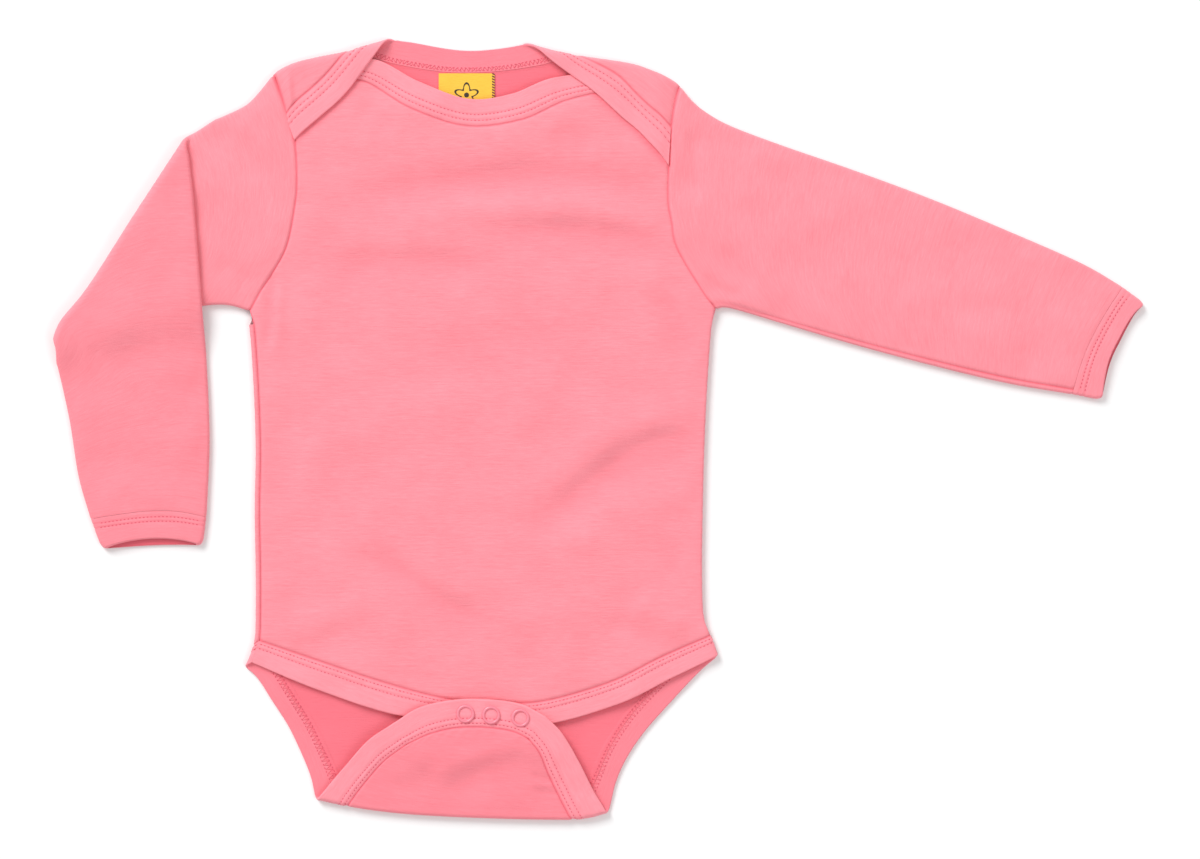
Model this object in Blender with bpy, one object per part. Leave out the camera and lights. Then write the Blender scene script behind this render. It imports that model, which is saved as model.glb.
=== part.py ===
"""Long-sleeved baby bodysuit in jersey, laid flat on its back with the front up.

The origin is at the centre of the underside, +X is the wearer's left, +Y the neck and +Z up.
Tables are in millimetres, and the meshes are written in metres. Every piece of cloth is cut
flat as a grid of rows, thickened, then turned over the folds that it crosses. The back is one
cut piece: its shoulder laps and its crotch flap are turned over on to the front.
"""

import math

import bmesh
import bpy
import numpy as np

MM = 0.001

# Driving dimensions.
WALL = 1.0  # one layer of jersey
BINDING = 1.4  # doubled strip of jersey
GAP = 0.3  # between neighbouring pieces
CORNER_GAP = 0.5  # where a sleeve meets the shoulder fold and the side seam
SIDE_RADIUS = 1.6  # round a side, sleeve or cuff edge, where front and back walls meet
SHOULDER_RADIUS = 2.55  # where the back turns over the shoulder on to the front
CROTCH_RADIUS = 2.0  # where the back turns up into the flap
SLEEVE_FOLD_RADIUS = 2 * SIDE_RADIUS + GAP / 2  # the flattened sleeve turned over on itself
RIGHT_ROLL = 1.1  # how far past the rolled edge the right side seam lies on the front
PROUD = 0.2  # how far the front bindings stand above the panels
FRONT_RISE = 1.2  # how far the air between the panels lifts the front
FLAP_LIFT = 2.8  # how far the snaps lift the flap's edge
FLAP_LIFT_REACH = 42.0
SLEEVE_DROP_REACH = 30.0  # over which the turned sleeve comes down past the sleeve beneath it
LABEL_WIDTH = 29.0
LABEL_LENGTH = 22.5
SNAP_DIAMETER = 9.5
SNAP_BORE = 6.5
SNAP_HEIGHT = 0.9
SNAP_ROUND = 0.3
STUD_DIAMETER = 8.4
STUD_HEIGHT = 1.4
STUD_CLEARANCE = 0.05

# Rows and columns of the cut pieces. Pieces that meet at a seam share its points.
COLUMNS = 16
LEG_ROWS = 12
ARMHOLE_ROWS = 8
FRONT_ARMHOLE_ROWS = 7
LAP_ROWS = 2
SLEEVE_ROWS = 11
CUFF_ROWS = 2
BINDING_ROWS = 2
FOLD_STEPS = 5
EDGE_STEPS = 4
CURVE_STEPS = 16
SNAP_STEPS = 20
LABEL_STEPS = 3
MERGE_DISTANCE = 0.05  # a cut line this near to points of a mesh passes through them
SMOOTH_ANGLE = 40  # degrees, under which faces are shaded as one surface

# Outlines, each a row of (x, y) points.
SHOULDER_OUTLINE = (
    (-175.0, 180.0),
    (-170.0, 184.5),
    (-159.6, 190.1),
    (-147.7, 193.2),
    (-132.1, 196.3),
    (-122.2, 199.2),
    (-109.2, 203.0),
    (-105.0, 204.7),
    (-104.6, 215.0),
    (-41.6, 215.0),
    (-41.2, 202.4),
    (-38.0, 200.9),
    (-26.0, 197.3),
    (-14.6, 194.9),
    (-4.2, 193.2),
    (16.1, 190.1),
    (26.0, 186.9),
    (33.3, 183.8),
    (42.1, 178.5),
    (47.0, 174.0),
)
CROTCH_OUTLINE = (
    (-160.0, -190.0),
    (-147.2, -192.3),
    (-130.0, -196.0),
    (-109.2, -198.9),
    (-88.4, -200.6),
    (-57.2, -202.0),
    (-26.0, -202.7),
    (-9.0, -202.2),
    (4.2, -198.9),
    (16.0, -194.0),
)
RIGHT_SIDE_OUTLINE = (
    (-215.0, 66.0),
    (-182.7, 60.0),
    (-182.0, 51.7),
    (-179.9, 20.5),
    (-178.9, -10.7),
    (-179.4, -41.9),
    (-178.9, -73.0),
    (-178.9, -96.0),
    (-179.6, -109.5),
    (-184.0, -121.0),
    (-190.0, -130.0),
)
LEFT_SIDE_OUTLINE = (
    (95.0, 67.0),
    (60.2, 61.0),
    (58.2, 51.7),
    (56.0, 20.5),
    (54.6, -10.7),
    (53.8, -41.9),
    (53.4, -73.0),
    (54.2, -96.0),
    (57.6, -106.5),
    (61.2, -117.0),
    (66.0, -130.0),
)
# The straight slant on which the right sleeve is turned over.
SLEEVE_FOLD_OUTLINE = ((-213.0, 155.6), (-283.4, 48.0))
# The underarm edge of the right sleeve below the turned part.
LOWER_EDGE_START = (-206.0, 66.0)
LOWER_EDGE_SLOPE = 0.21

# Seams and free edges as they lie: (x, y, turned). Turned is 0 on the lower layer, 0.5 on the
# fold itself and 1 where the cloth has been turned over the fold.
RIGHT_LEG_SEAM = (
    (-101.9, -160.9, 1),
    (-113.4, -169.8, 1),
    (-122.7, -181.2, 1),
    (-129.0, -191.1, 1),
    (-131.6, -195.8, 0.5),
    (-138.3, -181.2, 0),
    (-144.6, -167.2, 0),
    (-152.0, -152.1, 0),
    (-162.2, -135.8, 0),
    (-171.1, -121.9, 0),
)
LEFT_LEG_SEAM = (
    (-35.4, -157.8, 1),
    (-28.6, -165.6, 1),
    (-22.4, -177.6, 1),
    (-16.6, -190.6, 1),
    (-12.0, -201.5, 0.5),
    (-3.6, -184.9, 0),
    (5.2, -165.1, 0),
    (15.6, -149.0, 0),
    (29.0, -134.4, 0),
    (44.2, -119.9, 0),
)
FLAP_SEAM = (
    (-101.9, -160.9, 1),
    (-88.9, -155.2, 1),
    (-74.4, -151.8, 1),
    (-59.3, -151.6, 1),
    (-44.7, -153.7, 1),
    (-35.4, -157.8, 1),
)
RIGHT_LEG_EDGE = (
    (-107.6, -152.4, 1),
    (-120.3, -161.2, 1),
    (-132.6, -175.0, 1),
    (-141.5, -185.5, 1),
    (-147.2, -192.6, 0.5),
    (-150.3, -180.5, 0),
    (-155.5, -167.5, 0),
    (-162.0, -154.0, 0),
    (-170.5, -140.7, 0),
    (-178.6, -128.5, 0),
)
LEFT_LEG_EDGE = (
    (-28.5, -148.4, 1),
    (-19.6, -157.5, 1),
    (-11.0, -172.0, 1),
    (-3.0, -188.0, 1),
    (4.0, -199.4, 0.5),
    (8.4, -183.0, 0),
    (14.6, -169.5, 0),
    (24.0, -156.0, 0),
    (36.5, -142.0, 0),
    (51.0, -126.5, 0),
)
FLAP_EDGE = (
    (-107.6, -152.4, 1),
    (-93.6, -144.0, 1),
    (-76.0, -140.0, 1),
    (-58.2, -139.8, 1),
    (-41.0, -142.2, 1),
    (-28.5, -148.4, 1),
)
BACK_NECK_SEAM = (
    (-163.3, 163.2, 1),
    (-145.1, 181.2, 1),
    (-130.0, 196.6, 0.5),
    (-113.0, 191.5, 0),
    (-85.3, 186.2, 0),
    (-65.0, 185.4, 0),
    (-45.0, 187.0, 0),
    (-25.0, 190.8, 0),
    (-13.0, 194.7, 0.5),
    (7.8, 184.8, 1),
    (20.8, 172.4, 1),
    (36.8, 157.0, 1),
)
BACK_NECK_EDGE = (
    (-158.6, 150.0, 1),
    (-134.0, 172.0, 1),
    (-109.4, 202.6, 0.5),
    (-105.0, 202.2, 0),
    (-97.0, 201.0, 0),
    (-80.5, 198.0, 0),
    (-67.6, 196.8, 0),
    (-54.0, 197.7, 0),
    (-41.2, 199.8, 0),
    (-36.8, 200.4, 0.5),
    (-6.2, 177.6, 1),
    (14.0, 159.8, 1),
    (35.6, 137.0, 1),
)
FRONT_NECK_SEAM = (
    (-144.5, 178.2),
    (-123.8, 181.2),
    (-98.3, 166.8),
    (-69.4, 157.6),
    (-40.8, 160.7),
    (-15.3, 171.5),
    (14.6, 175.5),
)
FRONT_NECK_EDGE = (
    (-166.3, 178.8),
    (-145.6, 189.2),
    (-118.6, 192.6),
    (-94.1, 180.7),
    (-68.6, 171.6),
    (-45.8, 174.2),
    (-22.4, 183.0),
    (14.6, 185.0),
    (38.0, 173.5),
)
FRONT_HEM_SEAM = (
    (-143.0, -120.9),
    (-106.1, -132.9),
    (-78.0, -139.9),
    (-55.0, -142.0),
    (-28.6, -140.7),
    (5.7, -130.8),
    (31.2, -118.3),
)
FRONT_HEM_EDGE = (
    (-171.1, -127.1),
    (-147.2, -134.9),
    (-109.2, -147.4),
    (-80.5, -151.6),
    (-55.5, -153.4),
    (-26.5, -152.9),
    (10.4, -142.2),
    (37.5, -128.9),
)
RIGHT_ARMHOLE = (
    (-175.2, 73.6),
    (-163.3, 93.6),
    (-158.3, 116.8),
    (-157.3, 130.9),
    (-158.7, 150.9),
    (-164.1, 169.1),
    (-170.0, 184.0),
)
LEFT_ARMHOLE = (
    (53.3, 71.7),
    (40.4, 93.5),
    (37.3, 107.5),
    (35.4, 121.4),
    (36.6, 150.7),
    (38.8, 168.0),
    (41.6, 178.3),
)
RIGHT_UNDERARM = (-181.8, 61.5)
LEFT_UNDERARM = (60.0, 62.5)
LEFT_SLEEVE_TOP = (
    (47.3, 171.3),
    (54.6, 165.1),
    (67.6, 157.8),
    (93.6, 147.9),
    (132.6, 134.4),
    (171.6, 119.9),
    (210.6, 103.7),
    (249.6, 86.6),
)
LEFT_SLEEVE_BOTTOM = (
    (67.6, 63.0),
    (93.6, 55.4),
    (132.6, 43.9),
    (171.6, 33.5),
    (210.6, 24.2),
)
LEFT_CUFF_SEAM = (
    (271.4, 74.1),
    (264.6, 64.0),
    (256.7, 50.6),
    (250.4, 36.4),
    (245.0, 18.3),
)
LEFT_CUFF_EDGE = (
    (283.3, 65.2),
    (277.8, 59.6),
    (271.0, 47.1),
    (265.0, 34.0),
    (260.6, 15.3),
)
# The right sleeve: from the shoulder and the underarm to the fold, then on from it.
RIGHT_SLEEVE_TOP = (
    (-176.8, 175.5, 0),
    (-183.6, 168.7, 0),
    (-193.4, 163.7, 0),
    (-205.9, 158.0, 0),
    (-213.2, 151.0, 0.5),
    (-210.6, 120.0, 1),
    (-207.2, 77.0, 1),
    (-204.4, 36.1, 1),
    (-202.8, -5.5, 1),
)
RIGHT_SLEEVE_BOTTOM = (
    (-193.4, 64.6, 0),
    (-206.4, 64.2, 0),
    (-234.0, 59.5, 0),
    (-260.0, 53.3, 0),
    (-283.5, 47.0, 0.5),
    (-281.8, 34.0, 1),
    (-275.6, 4.9, 1),
    (-270.9, -24.3, 1),
)
RIGHT_CUFF_SEAM = (
    (-204.4, -45.4, 1),
    (-218.8, -42.6, 1),
    (-232.9, -42.3, 1),
    (-247.0, -43.7, 1),
    (-264.6, -46.5, 1),
)
RIGHT_CUFF_EDGE = (
    (-206.4, -60.2, 1),
    (-220.0, -57.2, 1),
    (-233.0, -56.2, 1),
    (-244.0, -57.2, 1),
    (-258.8, -61.2, 1),
)
LABEL_PLACE = (-69.3, 185.0)
SNAP_PLACES = ((-69.7, -147.3), (-56.4, -148.0), (-41.2, -149.4))

# Broad folds of the front: start x, start y, end x, end y, width across, rise.
FRONT_FOLDS = (
    (-90.0, 134.0, 30.0, 133.0, 16.0, -0.6),
    (52.0, -2.0, -27.0, -50.0, 22.0, -0.9),
    (0.0, 2.0, 44.0, 22.0, 24.0, 0.7),
    (-114.0, -64.0, -56.0, -106.0, 20.0, -0.6),
)
FOLD_FADE = 1.25  # how soon a fold's height is reached from its ends
# Where the front is lifted: between the sides, up from the hem and down from the neck.
BODY_CENTRE_X = -61.5
BODY_HALF = 100.0
RISE_FROM_Y = -145.0
RISE_WITHIN = 60.0
RISE_TO_Y = 206.0
NECK_RISE_WITHIN = 42.0

# Surface of each sort of piece: colour, roughness.
JERSEY = ("jersey", (0.95, 0.32, 0.37), 0.9)
BINDING_JERSEY = ("binding_jersey", (0.93, 0.30, 0.35), 0.9)
LABEL_SATIN = ("label_satin", (0.90, 0.60, 0.08), 0.6)
SNAP_ENAMEL = ("snap_enamel", (0.92, 0.33, 0.38), 0.25)


def smooth(share):
    """0 to 1 with no corner at either end."""
    share = min(max(share, 0.0), 1.0)
    return share * share * (3 - 2 * share)


def lengths(points):
    """The distance of each point along the line through them."""
    steps = np.linalg.norm(np.diff(points, axis=0), axis=1)
    return np.concatenate([[0.0], np.cumsum(steps)])


def along(points, distances):
    """Points at these distances along a line."""
    travelled = lengths(points)
    return np.column_stack([np.interp(distances, travelled, column) for column in points.T])


def curve(keys, count):
    """count + 1 evenly spaced points on a smooth curve through the keys."""
    keys = np.array(keys, float)[:, :2]
    held = np.vstack([2 * keys[0] - keys[1], keys, 2 * keys[-1] - keys[-2]])
    t = np.linspace(0, 1, CURVE_STEPS, endpoint=False)[:, None]
    runs = []
    for a, b, c, d in zip(held, held[1:], held[2:], held[3:]):
        bend = (2 * a - 5 * b + 4 * c - d) * t**2 + (3 * b - a - 3 * c + d) * t**3
        runs.append(b + 0.5 * ((c - a) * t + bend))
    dense = np.vstack([*runs, keys[-1:]])
    return along(dense, np.linspace(0, lengths(dense)[-1], count + 1))


def patch(bottom, top, left, right):
    """Rows of points between four edges: bottom and top run to the right, left and right run up."""
    u = (lengths(bottom) / lengths(bottom)[-1] + lengths(top) / lengths(top)[-1]) / 2
    v = (lengths(left) / lengths(left)[-1] + lengths(right) / lengths(right)[-1]) / 2
    u = u[None, :, None]
    v = v[:, None, None]
    low_corners = (1 - u) * bottom[0] + u * bottom[-1]
    high_corners = (1 - u) * top[0] + u * top[-1]
    sides = (1 - u) * left[:, None] + u * right[:, None]
    ends = (1 - v) * bottom[None] + v * top[None]
    return sides + ends - (1 - v) * low_corners - v * high_corners


class Fold:
    """A line over which cloth is turned, then laid back on itself.

    outline is the line as seen from above, and out points across it, away from the cloth.
    radius is the height of the bend's centre, and length is kept where a layer this far from
    the centre passes. settle gives how far the turned cloth is lifted, from where it lies.
    """

    def __init__(self, out, outline, radius, kept=None, settle=None):
        self.out = np.array(out, float) / np.hypot(*out)
        self.tangent = np.array((-self.out[1], self.out[0]))
        points = np.array(outline, float)
        order = np.argsort(points @ self.tangent)
        self.stations = (points @ self.tangent)[order]
        self.reach = (points @ self.out)[order] - radius
        self.radius = radius
        self.kept = kept or radius
        self.settle = settle or (lambda x, y: 0.0)

    def centre(self, station):
        return np.interp(station, self.stations, self.reach)

    def straighten(self, x, y):
        """How far along the fold, and how far past the start of its bend."""
        station = x * self.tangent[0] + y * self.tangent[1]
        return station, x * self.out[0] + y * self.out[1] - self.centre(station)

    def flatten(self, station, past):
        point = station * self.tangent + (self.centre(station) + past) * self.out
        return point[0], point[1]

    def cut(self, x, y, turned):
        """Where a point that lies at (x, y) was before the cloth was turned."""
        station, past = self.straighten(x, y)
        bend = math.pi * self.kept
        return self.flatten(station, (past, bend / 2, bend - past)[round(2 * turned)])

    def turn(self, x, y, height):
        """Where a point of the flat cloth lies once turned over the fold."""
        station, past = self.straighten(x, y)
        if past <= 0:
            return x, y, height
        angle = min(past / self.kept, math.pi)
        over = max(past - math.pi * self.kept, 0.0)
        arm = self.radius - height
        x, y = self.flatten(station, arm * math.sin(angle) - over)
        lift = self.settle(x, y) * (1 - math.cos(angle)) / 2
        return x, y, self.radius - arm * math.cos(angle) + lift


def front_rise(x, y):
    """How far the front, and what lies on it, stands above the height at its edges."""
    across = max(1 - ((x - BODY_CENTRE_X) / BODY_HALF) ** 2, 0.0)
    from_hem = smooth((y - RISE_FROM_Y) / RISE_WITHIN)
    from_neck = smooth((RISE_TO_Y - y) / NECK_RISE_WITHIN)
    rise = FRONT_RISE * across * from_hem * from_neck
    for x0, y0, x1, y1, width, height in FRONT_FOLDS:
        run = np.array((x1 - x0, y1 - y0))
        offset = np.array((x - x0, y - y0))
        share = offset @ run / (run @ run)
        aside = (offset[0] * run[1] - offset[1] * run[0]) / np.hypot(*run)
        ends = smooth(FOLD_FADE * (1 - abs(2 * share - 1)))
        rise += height * ends * math.exp(-((2 * aside / width) ** 2)) * smooth(3 * across)
    return rise


def flap_lift(x, y):
    """The flap rises from its fold to lie over the snaps."""
    start = np.interp(x, *np.array(CROTCH_OUTLINE).T)
    return FLAP_LIFT * smooth((y - start) / FLAP_LIFT_REACH)


def sleeve_drop(x, y):
    """Past the sleeve beneath it, the turned part comes down to the surface."""
    start_x, start_y = LOWER_EDGE_START
    past = start_y + LOWER_EDGE_SLOPE * (x - start_x) - y
    return -2 * (SLEEVE_FOLD_RADIUS - SIDE_RADIUS) * smooth(past / SLEEVE_DROP_REACH)


SHOULDERS = Fold((0, 1), SHOULDER_OUTLINE, SHOULDER_RADIUS, settle=front_rise)
CROTCH = Fold((0, -1), CROTCH_OUTLINE, CROTCH_RADIUS, settle=flap_lift)
RIGHT_SIDE = Fold((-1, 0), RIGHT_SIDE_OUTLINE, SIDE_RADIUS)
LEFT_SIDE = Fold((1, 0), LEFT_SIDE_OUTLINE, SIDE_RADIUS)
SLEEVE_FOLD_RUN = np.subtract(*SLEEVE_FOLD_OUTLINE)
SLEEVE_FOLD = Fold(
    (-SLEEVE_FOLD_RUN[1], SLEEVE_FOLD_RUN[0]),
    SLEEVE_FOLD_OUTLINE,
    SLEEVE_FOLD_RADIUS,
    kept=SLEEVE_FOLD_RADIUS / 2,
    settle=sleeve_drop,
)


def lay_flat(keys, fold):
    """The keys of a seam or an edge, moved to where they are on the flat cut piece."""
    return [fold.cut(x, y, turned) for x, y, turned in keys]


def surface(name_colour_roughness):
    name, colour, roughness = name_colour_roughness
    material = bpy.data.materials.get(name)
    if material is None:
        material = bpy.data.materials.new(name)
        material.use_nodes = True
        shader = material.node_tree.nodes["Principled BSDF"]
        shader.inputs["Base Color"].default_value = (*colour, 1)
        shader.inputs["Roughness"].default_value = roughness
        shader.inputs["Metallic"].default_value = 0
    return material


def add_piece(name, mesh, material, folds=(), front=False):
    """Turns a closed flat mesh over its folds and makes it an object.

    A front piece is cut face down like the back, so it is turned face up over the side radius.
    """
    for fold in folds:
        bend = math.pi * fold.kept
        for vert in mesh.verts:
            station, past = fold.straighten(vert.co.x, vert.co.y)
            vert.co = (station, past, vert.co.z)
        for step in range(FOLD_STEPS + 1):
            bmesh.ops.bisect_plane(
                mesh,
                geom=[*mesh.verts, *mesh.edges, *mesh.faces],
                dist=MERGE_DISTANCE,
                plane_co=(0, bend * step / FOLD_STEPS, 0),
                plane_no=(0, 1, 0),
            )
        for vert in mesh.verts:
            x, y = fold.flatten(vert.co.x, vert.co.y)
            vert.co = (x, y, vert.co.z)
    for vert in mesh.verts:
        x, y, z = vert.co
        for fold in folds:
            if fold.straighten(x, y)[1] > 0:
                x, y, z = fold.turn(x, y, z)
                break
        if front:
            z = 2 * SIDE_RADIUS - z + front_rise(x, y)
        vert.co = (x, y, z)
    bmesh.ops.scale(mesh, vec=(MM, MM, MM), verts=mesh.verts)
    bmesh.ops.recalc_face_normals(mesh, faces=mesh.faces)
    data = bpy.data.meshes.new(name)
    mesh.to_mesh(data)
    mesh.free()
    data.materials.append(surface(material))
    data.shade_smooth()
    data.set_sharp_from_angle(angle=math.radians(SMOOTH_ANGLE))
    bpy.context.scene.collection.objects.link(bpy.data.objects.new(name, data))


def sheet(rows, thickness, start=0.0):
    """A closed wall on a grid of flat points, from height start to start + thickness."""
    mesh = bmesh.new()
    low, high = [
        [[mesh.verts.new((x, y, height)) for x, y in row] for row in rows]
        for height in (start, start + thickness)
    ]
    for layer in (low, high):
        for row, following in zip(layer, layer[1:]):
            for a, b, c, d in zip(row, row[1:], following[1:], following):
                mesh.faces.new((a, b, c, d))
    for rim_low, rim_high in (
        (low[0], high[0]),
        (low[-1], high[-1]),
        ([row[0] for row in low], [row[0] for row in high]),
        ([row[-1] for row in low], [row[-1] for row in high]),
    ):
        for a, b, c, d in zip(rim_low, rim_low[1:], rim_high[1:], rim_high):
            mesh.faces.new((a, b, c, d))
    return mesh


def ring_of(row, radius, inset):
    """A flattened ring round a row that runs from one edge of a sleeve to the other."""
    distances = lengths(row)
    far = distances[-1]
    bend = radius - inset
    angles = np.linspace(-math.pi / 2, math.pi / 2, EDGE_STEPS + 1)
    edge = inset + bend * (1 - np.cos(angles))
    edge_heights = radius + bend * np.sin(angles)
    middle = distances[1:-1]
    reach = np.concatenate([edge, middle, far - edge, middle[::-1]])
    flat = np.ones_like(middle)
    heights = np.concatenate(
        [edge_heights, flat * (2 * radius - inset), edge_heights[::-1], flat * inset]
    )
    return np.column_stack([along(row, reach), heights])


def tube(rows, radius, wall):
    """A closed wall round a flattened tube, a ring for each row, open at both ends."""
    mesh = bmesh.new()
    outer, inner = [
        [[mesh.verts.new(point) for point in ring_of(row, radius, inset)] for row in rows]
        for inset in (0.0, wall)
    ]
    for layer in (outer, inner):
        for ring, following in zip(layer, layer[1:]):
            bridge(mesh, ring, following)
    bridge(mesh, outer[0], inner[0])
    bridge(mesh, outer[-1], inner[-1])
    return mesh


def bridge(mesh, ring, following):
    for k, vert in enumerate(ring):
        mesh.faces.new((vert, ring[k - 1], following[k - 1], following[k]))


def strip(seam, edge):
    """Rows of a binding from its seam, less the gap, to its free edge."""
    aside = edge - seam
    start = seam + aside * GAP / np.linalg.norm(aside, axis=1)[:, None]
    shares = np.linspace(0, 1, BINDING_ROWS + 1)
    return np.array([start + share * (edge - start) for share in shares])


# How far past the start of the bend the back is cut at each side. The right seam lies on top,
# in from the edge, and the left one lies half-way round the edge, where the front meets it.
BEND = math.pi * SIDE_RADIUS
RIGHT_SEAM_PAST = BEND + RIGHT_ROLL
LEFT_SEAM_PAST = BEND / 2 - GAP / 2
RIGHT_HEM_Y = -109.5
LEFT_HEM_Y = -106.5
RIGHT_BINDING_END_Y = -121.0
LEFT_BINDING_END_Y = -117.0
RIGHT_SIDE_TOP_Y = 57.0
LEFT_SIDE_TOP_Y = 58.0


def side(fold, past, low, high):
    """Points up a side of the flat cut, this far past the start of its bend."""
    stations = fold.tangent[1] * np.array((low, high))
    inner = [p for p in fold.stations if min(stations) < p < max(stations)]
    stations = sorted([*stations, *inner], key=lambda p: p * fold.tangent[1])
    return np.array([fold.flatten(p, past) for p in stations])


def cut_lines():
    """The flat cut lines, in points that neighbouring pieces share."""
    right_side = side(RIGHT_SIDE, RIGHT_SEAM_PAST, RIGHT_HEM_Y, RIGHT_SIDE_TOP_Y)
    left_side = side(LEFT_SIDE, LEFT_SEAM_PAST, LEFT_HEM_Y, LEFT_SIDE_TOP_Y)
    # On the front the right seam is seen from above, so it is in from the bend's start.
    front_right = side(RIGHT_SIDE, -RIGHT_ROLL - GAP, RIGHT_HEM_Y, RIGHT_SIDE_TOP_Y)
    right_armhole = curve([RIGHT_UNDERARM, *RIGHT_ARMHOLE], ARMHOLE_ROWS)
    left_armhole = curve([LEFT_UNDERARM, *LEFT_ARMHOLE], ARMHOLE_ROWS)
    neck_ends = right_armhole[FRONT_ARMHOLE_ROWS], left_armhole[FRONT_ARMHOLE_ROWS]
    return {
        "right_side": right_side,
        "left_side": left_side,
        "front_right_side": front_right,
        "right_armhole": right_armhole,
        "left_armhole": left_armhole,
        "right_leg": curve([*lay_flat(RIGHT_LEG_SEAM, CROTCH), right_side[0]], LEG_ROWS),
        "left_leg": curve([*lay_flat(LEFT_LEG_SEAM, CROTCH), left_side[0]], LEG_ROWS),
        "flap": curve(lay_flat(FLAP_SEAM, CROTCH), COLUMNS),
        "back_neck": curve(lay_flat(BACK_NECK_SEAM, SHOULDERS), COLUMNS),
        "front_neck": curve([neck_ends[0], *FRONT_NECK_SEAM, neck_ends[1]], COLUMNS),
        "front_hem": curve([front_right[0], *FRONT_HEM_SEAM, left_side[0]], COLUMNS),
    }


def add_back(cut):
    right_lap = curve([cut["right_armhole"][-1], cut["back_neck"][0]], LAP_ROWS)
    left_lap = curve([cut["left_armhole"][-1], cut["back_neck"][-1]], LAP_ROWS)
    right = np.vstack([cut["right_leg"], cut["right_side"][1:], cut["right_armhole"], right_lap[1:]])
    left = np.vstack([cut["left_leg"], cut["left_side"][1:], cut["left_armhole"], left_lap[1:]])
    rows = patch(cut["flap"], cut["back_neck"], right, left)
    add_piece("back", sheet(rows, WALL), JERSEY, (SHOULDERS, CROTCH, RIGHT_SIDE, LEFT_SIDE))


def add_front(cut):
    armhole_rows = FRONT_ARMHOLE_ROWS + 1
    right = np.vstack([cut["front_right_side"], cut["right_armhole"][:armhole_rows]])
    left = np.vstack([cut["left_side"], cut["left_armhole"][:armhole_rows]])
    rows = patch(cut["front_hem"], cut["front_neck"], right, left)
    add_piece("front", sheet(rows, WALL), JERSEY, (LEFT_SIDE,), front=True)


def add_bindings(cut):
    neck_edge = curve(FRONT_NECK_EDGE, COLUMNS)
    neck = strip(cut["front_neck"], neck_edge)
    add_piece("neck_binding_front", sheet(neck, BINDING, -PROUD), BINDING_JERSEY, front=True)

    right_end = RIGHT_SIDE.flatten(-RIGHT_BINDING_END_Y, -RIGHT_ROLL - GAP)
    left_end = LEFT_SIDE.flatten(LEFT_BINDING_END_Y, LEFT_SEAM_PAST)
    hem = strip(cut["front_hem"], curve([right_end, *FRONT_HEM_EDGE, left_end], COLUMNS))
    hem_mesh = sheet(hem, BINDING, -PROUD)
    add_piece("hem_binding_front", hem_mesh, BINDING_JERSEY, (LEFT_SIDE,), front=True)

    back_neck = strip(cut["back_neck"], curve(lay_flat(BACK_NECK_EDGE, SHOULDERS), COLUMNS))
    add_piece("neck_binding_back", sheet(back_neck, BINDING), BINDING_JERSEY, (SHOULDERS,))

    right_end = RIGHT_SIDE.flatten(-RIGHT_BINDING_END_Y, RIGHT_SEAM_PAST)
    right_edge = curve([*lay_flat(RIGHT_LEG_EDGE, CROTCH), right_end], LEG_ROWS)
    left_edge = curve([*lay_flat(LEFT_LEG_EDGE, CROTCH), left_end], LEG_ROWS)
    flap_edge = curve(lay_flat(FLAP_EDGE, CROTCH), COLUMNS)
    seam = np.vstack([cut["right_leg"][::-1], cut["flap"][1:], cut["left_leg"][1:]])
    edge = np.vstack([right_edge[::-1], flap_edge[1:], left_edge[1:]])
    leg_mesh = sheet(strip(seam, edge), BINDING)
    add_piece("leg_binding_back", leg_mesh, BINDING_JERSEY, (CROTCH, RIGHT_SIDE, LEFT_SIDE))


def add_sleeve(side_name, armhole, top, bottom, cuff_seam, cuff_edge, folds=()):
    """A sleeve and its cuff. Each row crosses the sleeve from its top edge to its underarm edge."""
    shoulder = armhole[::-1]
    ahead = cuff_seam[len(cuff_seam) // 2] - shoulder.mean(axis=0)
    ahead = GAP * ahead / np.linalg.norm(ahead)
    top_edge = curve([shoulder[0], *top, cuff_seam[0]], SLEEVE_ROWS)
    bottom_edge = curve([shoulder[-1], *bottom, cuff_seam[-1]], SLEEVE_ROWS)
    seam = curve(cuff_seam, ARMHOLE_ROWS)
    rows = patch(shoulder, seam, top_edge, bottom_edge)
    rows[0] += ahead
    length = lengths(rows[0])[-1]
    rows[0][[0, -1]] = along(rows[0], [CORNER_GAP, length - CORNER_GAP])
    add_piece("sleeve_" + side_name, tube(rows, SIDE_RADIUS, WALL), JERSEY, folds)

    cuff_rows = strip(seam, curve(cuff_edge, ARMHOLE_ROWS))
    add_piece("cuff_" + side_name, tube(cuff_rows, SIDE_RADIUS, WALL), JERSEY, folds)


def add_sleeves(cut):
    add_sleeve(
        "left",
        cut["left_armhole"],
        LEFT_SLEEVE_TOP,
        LEFT_SLEEVE_BOTTOM,
        np.array(LEFT_CUFF_SEAM),
        LEFT_CUFF_EDGE,
    )
    add_sleeve(
        "right",
        cut["right_armhole"],
        lay_flat(RIGHT_SLEEVE_TOP, SLEEVE_FOLD),
        lay_flat(RIGHT_SLEEVE_BOTTOM, SLEEVE_FOLD),
        np.array(lay_flat(RIGHT_CUFF_SEAM, SLEEVE_FOLD)),
        lay_flat(RIGHT_CUFF_EDGE, SLEEVE_FOLD),
        (SLEEVE_FOLD,),
    )


def add_label():
    """It hangs from the back neck seam over the inside of the back."""
    x, top = LABEL_PLACE
    across = x + np.linspace(-LABEL_WIDTH / 2, LABEL_WIDTH / 2, LABEL_STEPS + 1)
    down = top - np.linspace(0, LABEL_LENGTH, LABEL_STEPS + 1)
    rows = [[(x, y) for x in across] for y in down]
    add_piece("label", sheet(rows, WALL, WALL + GAP), LABEL_SATIN)


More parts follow.
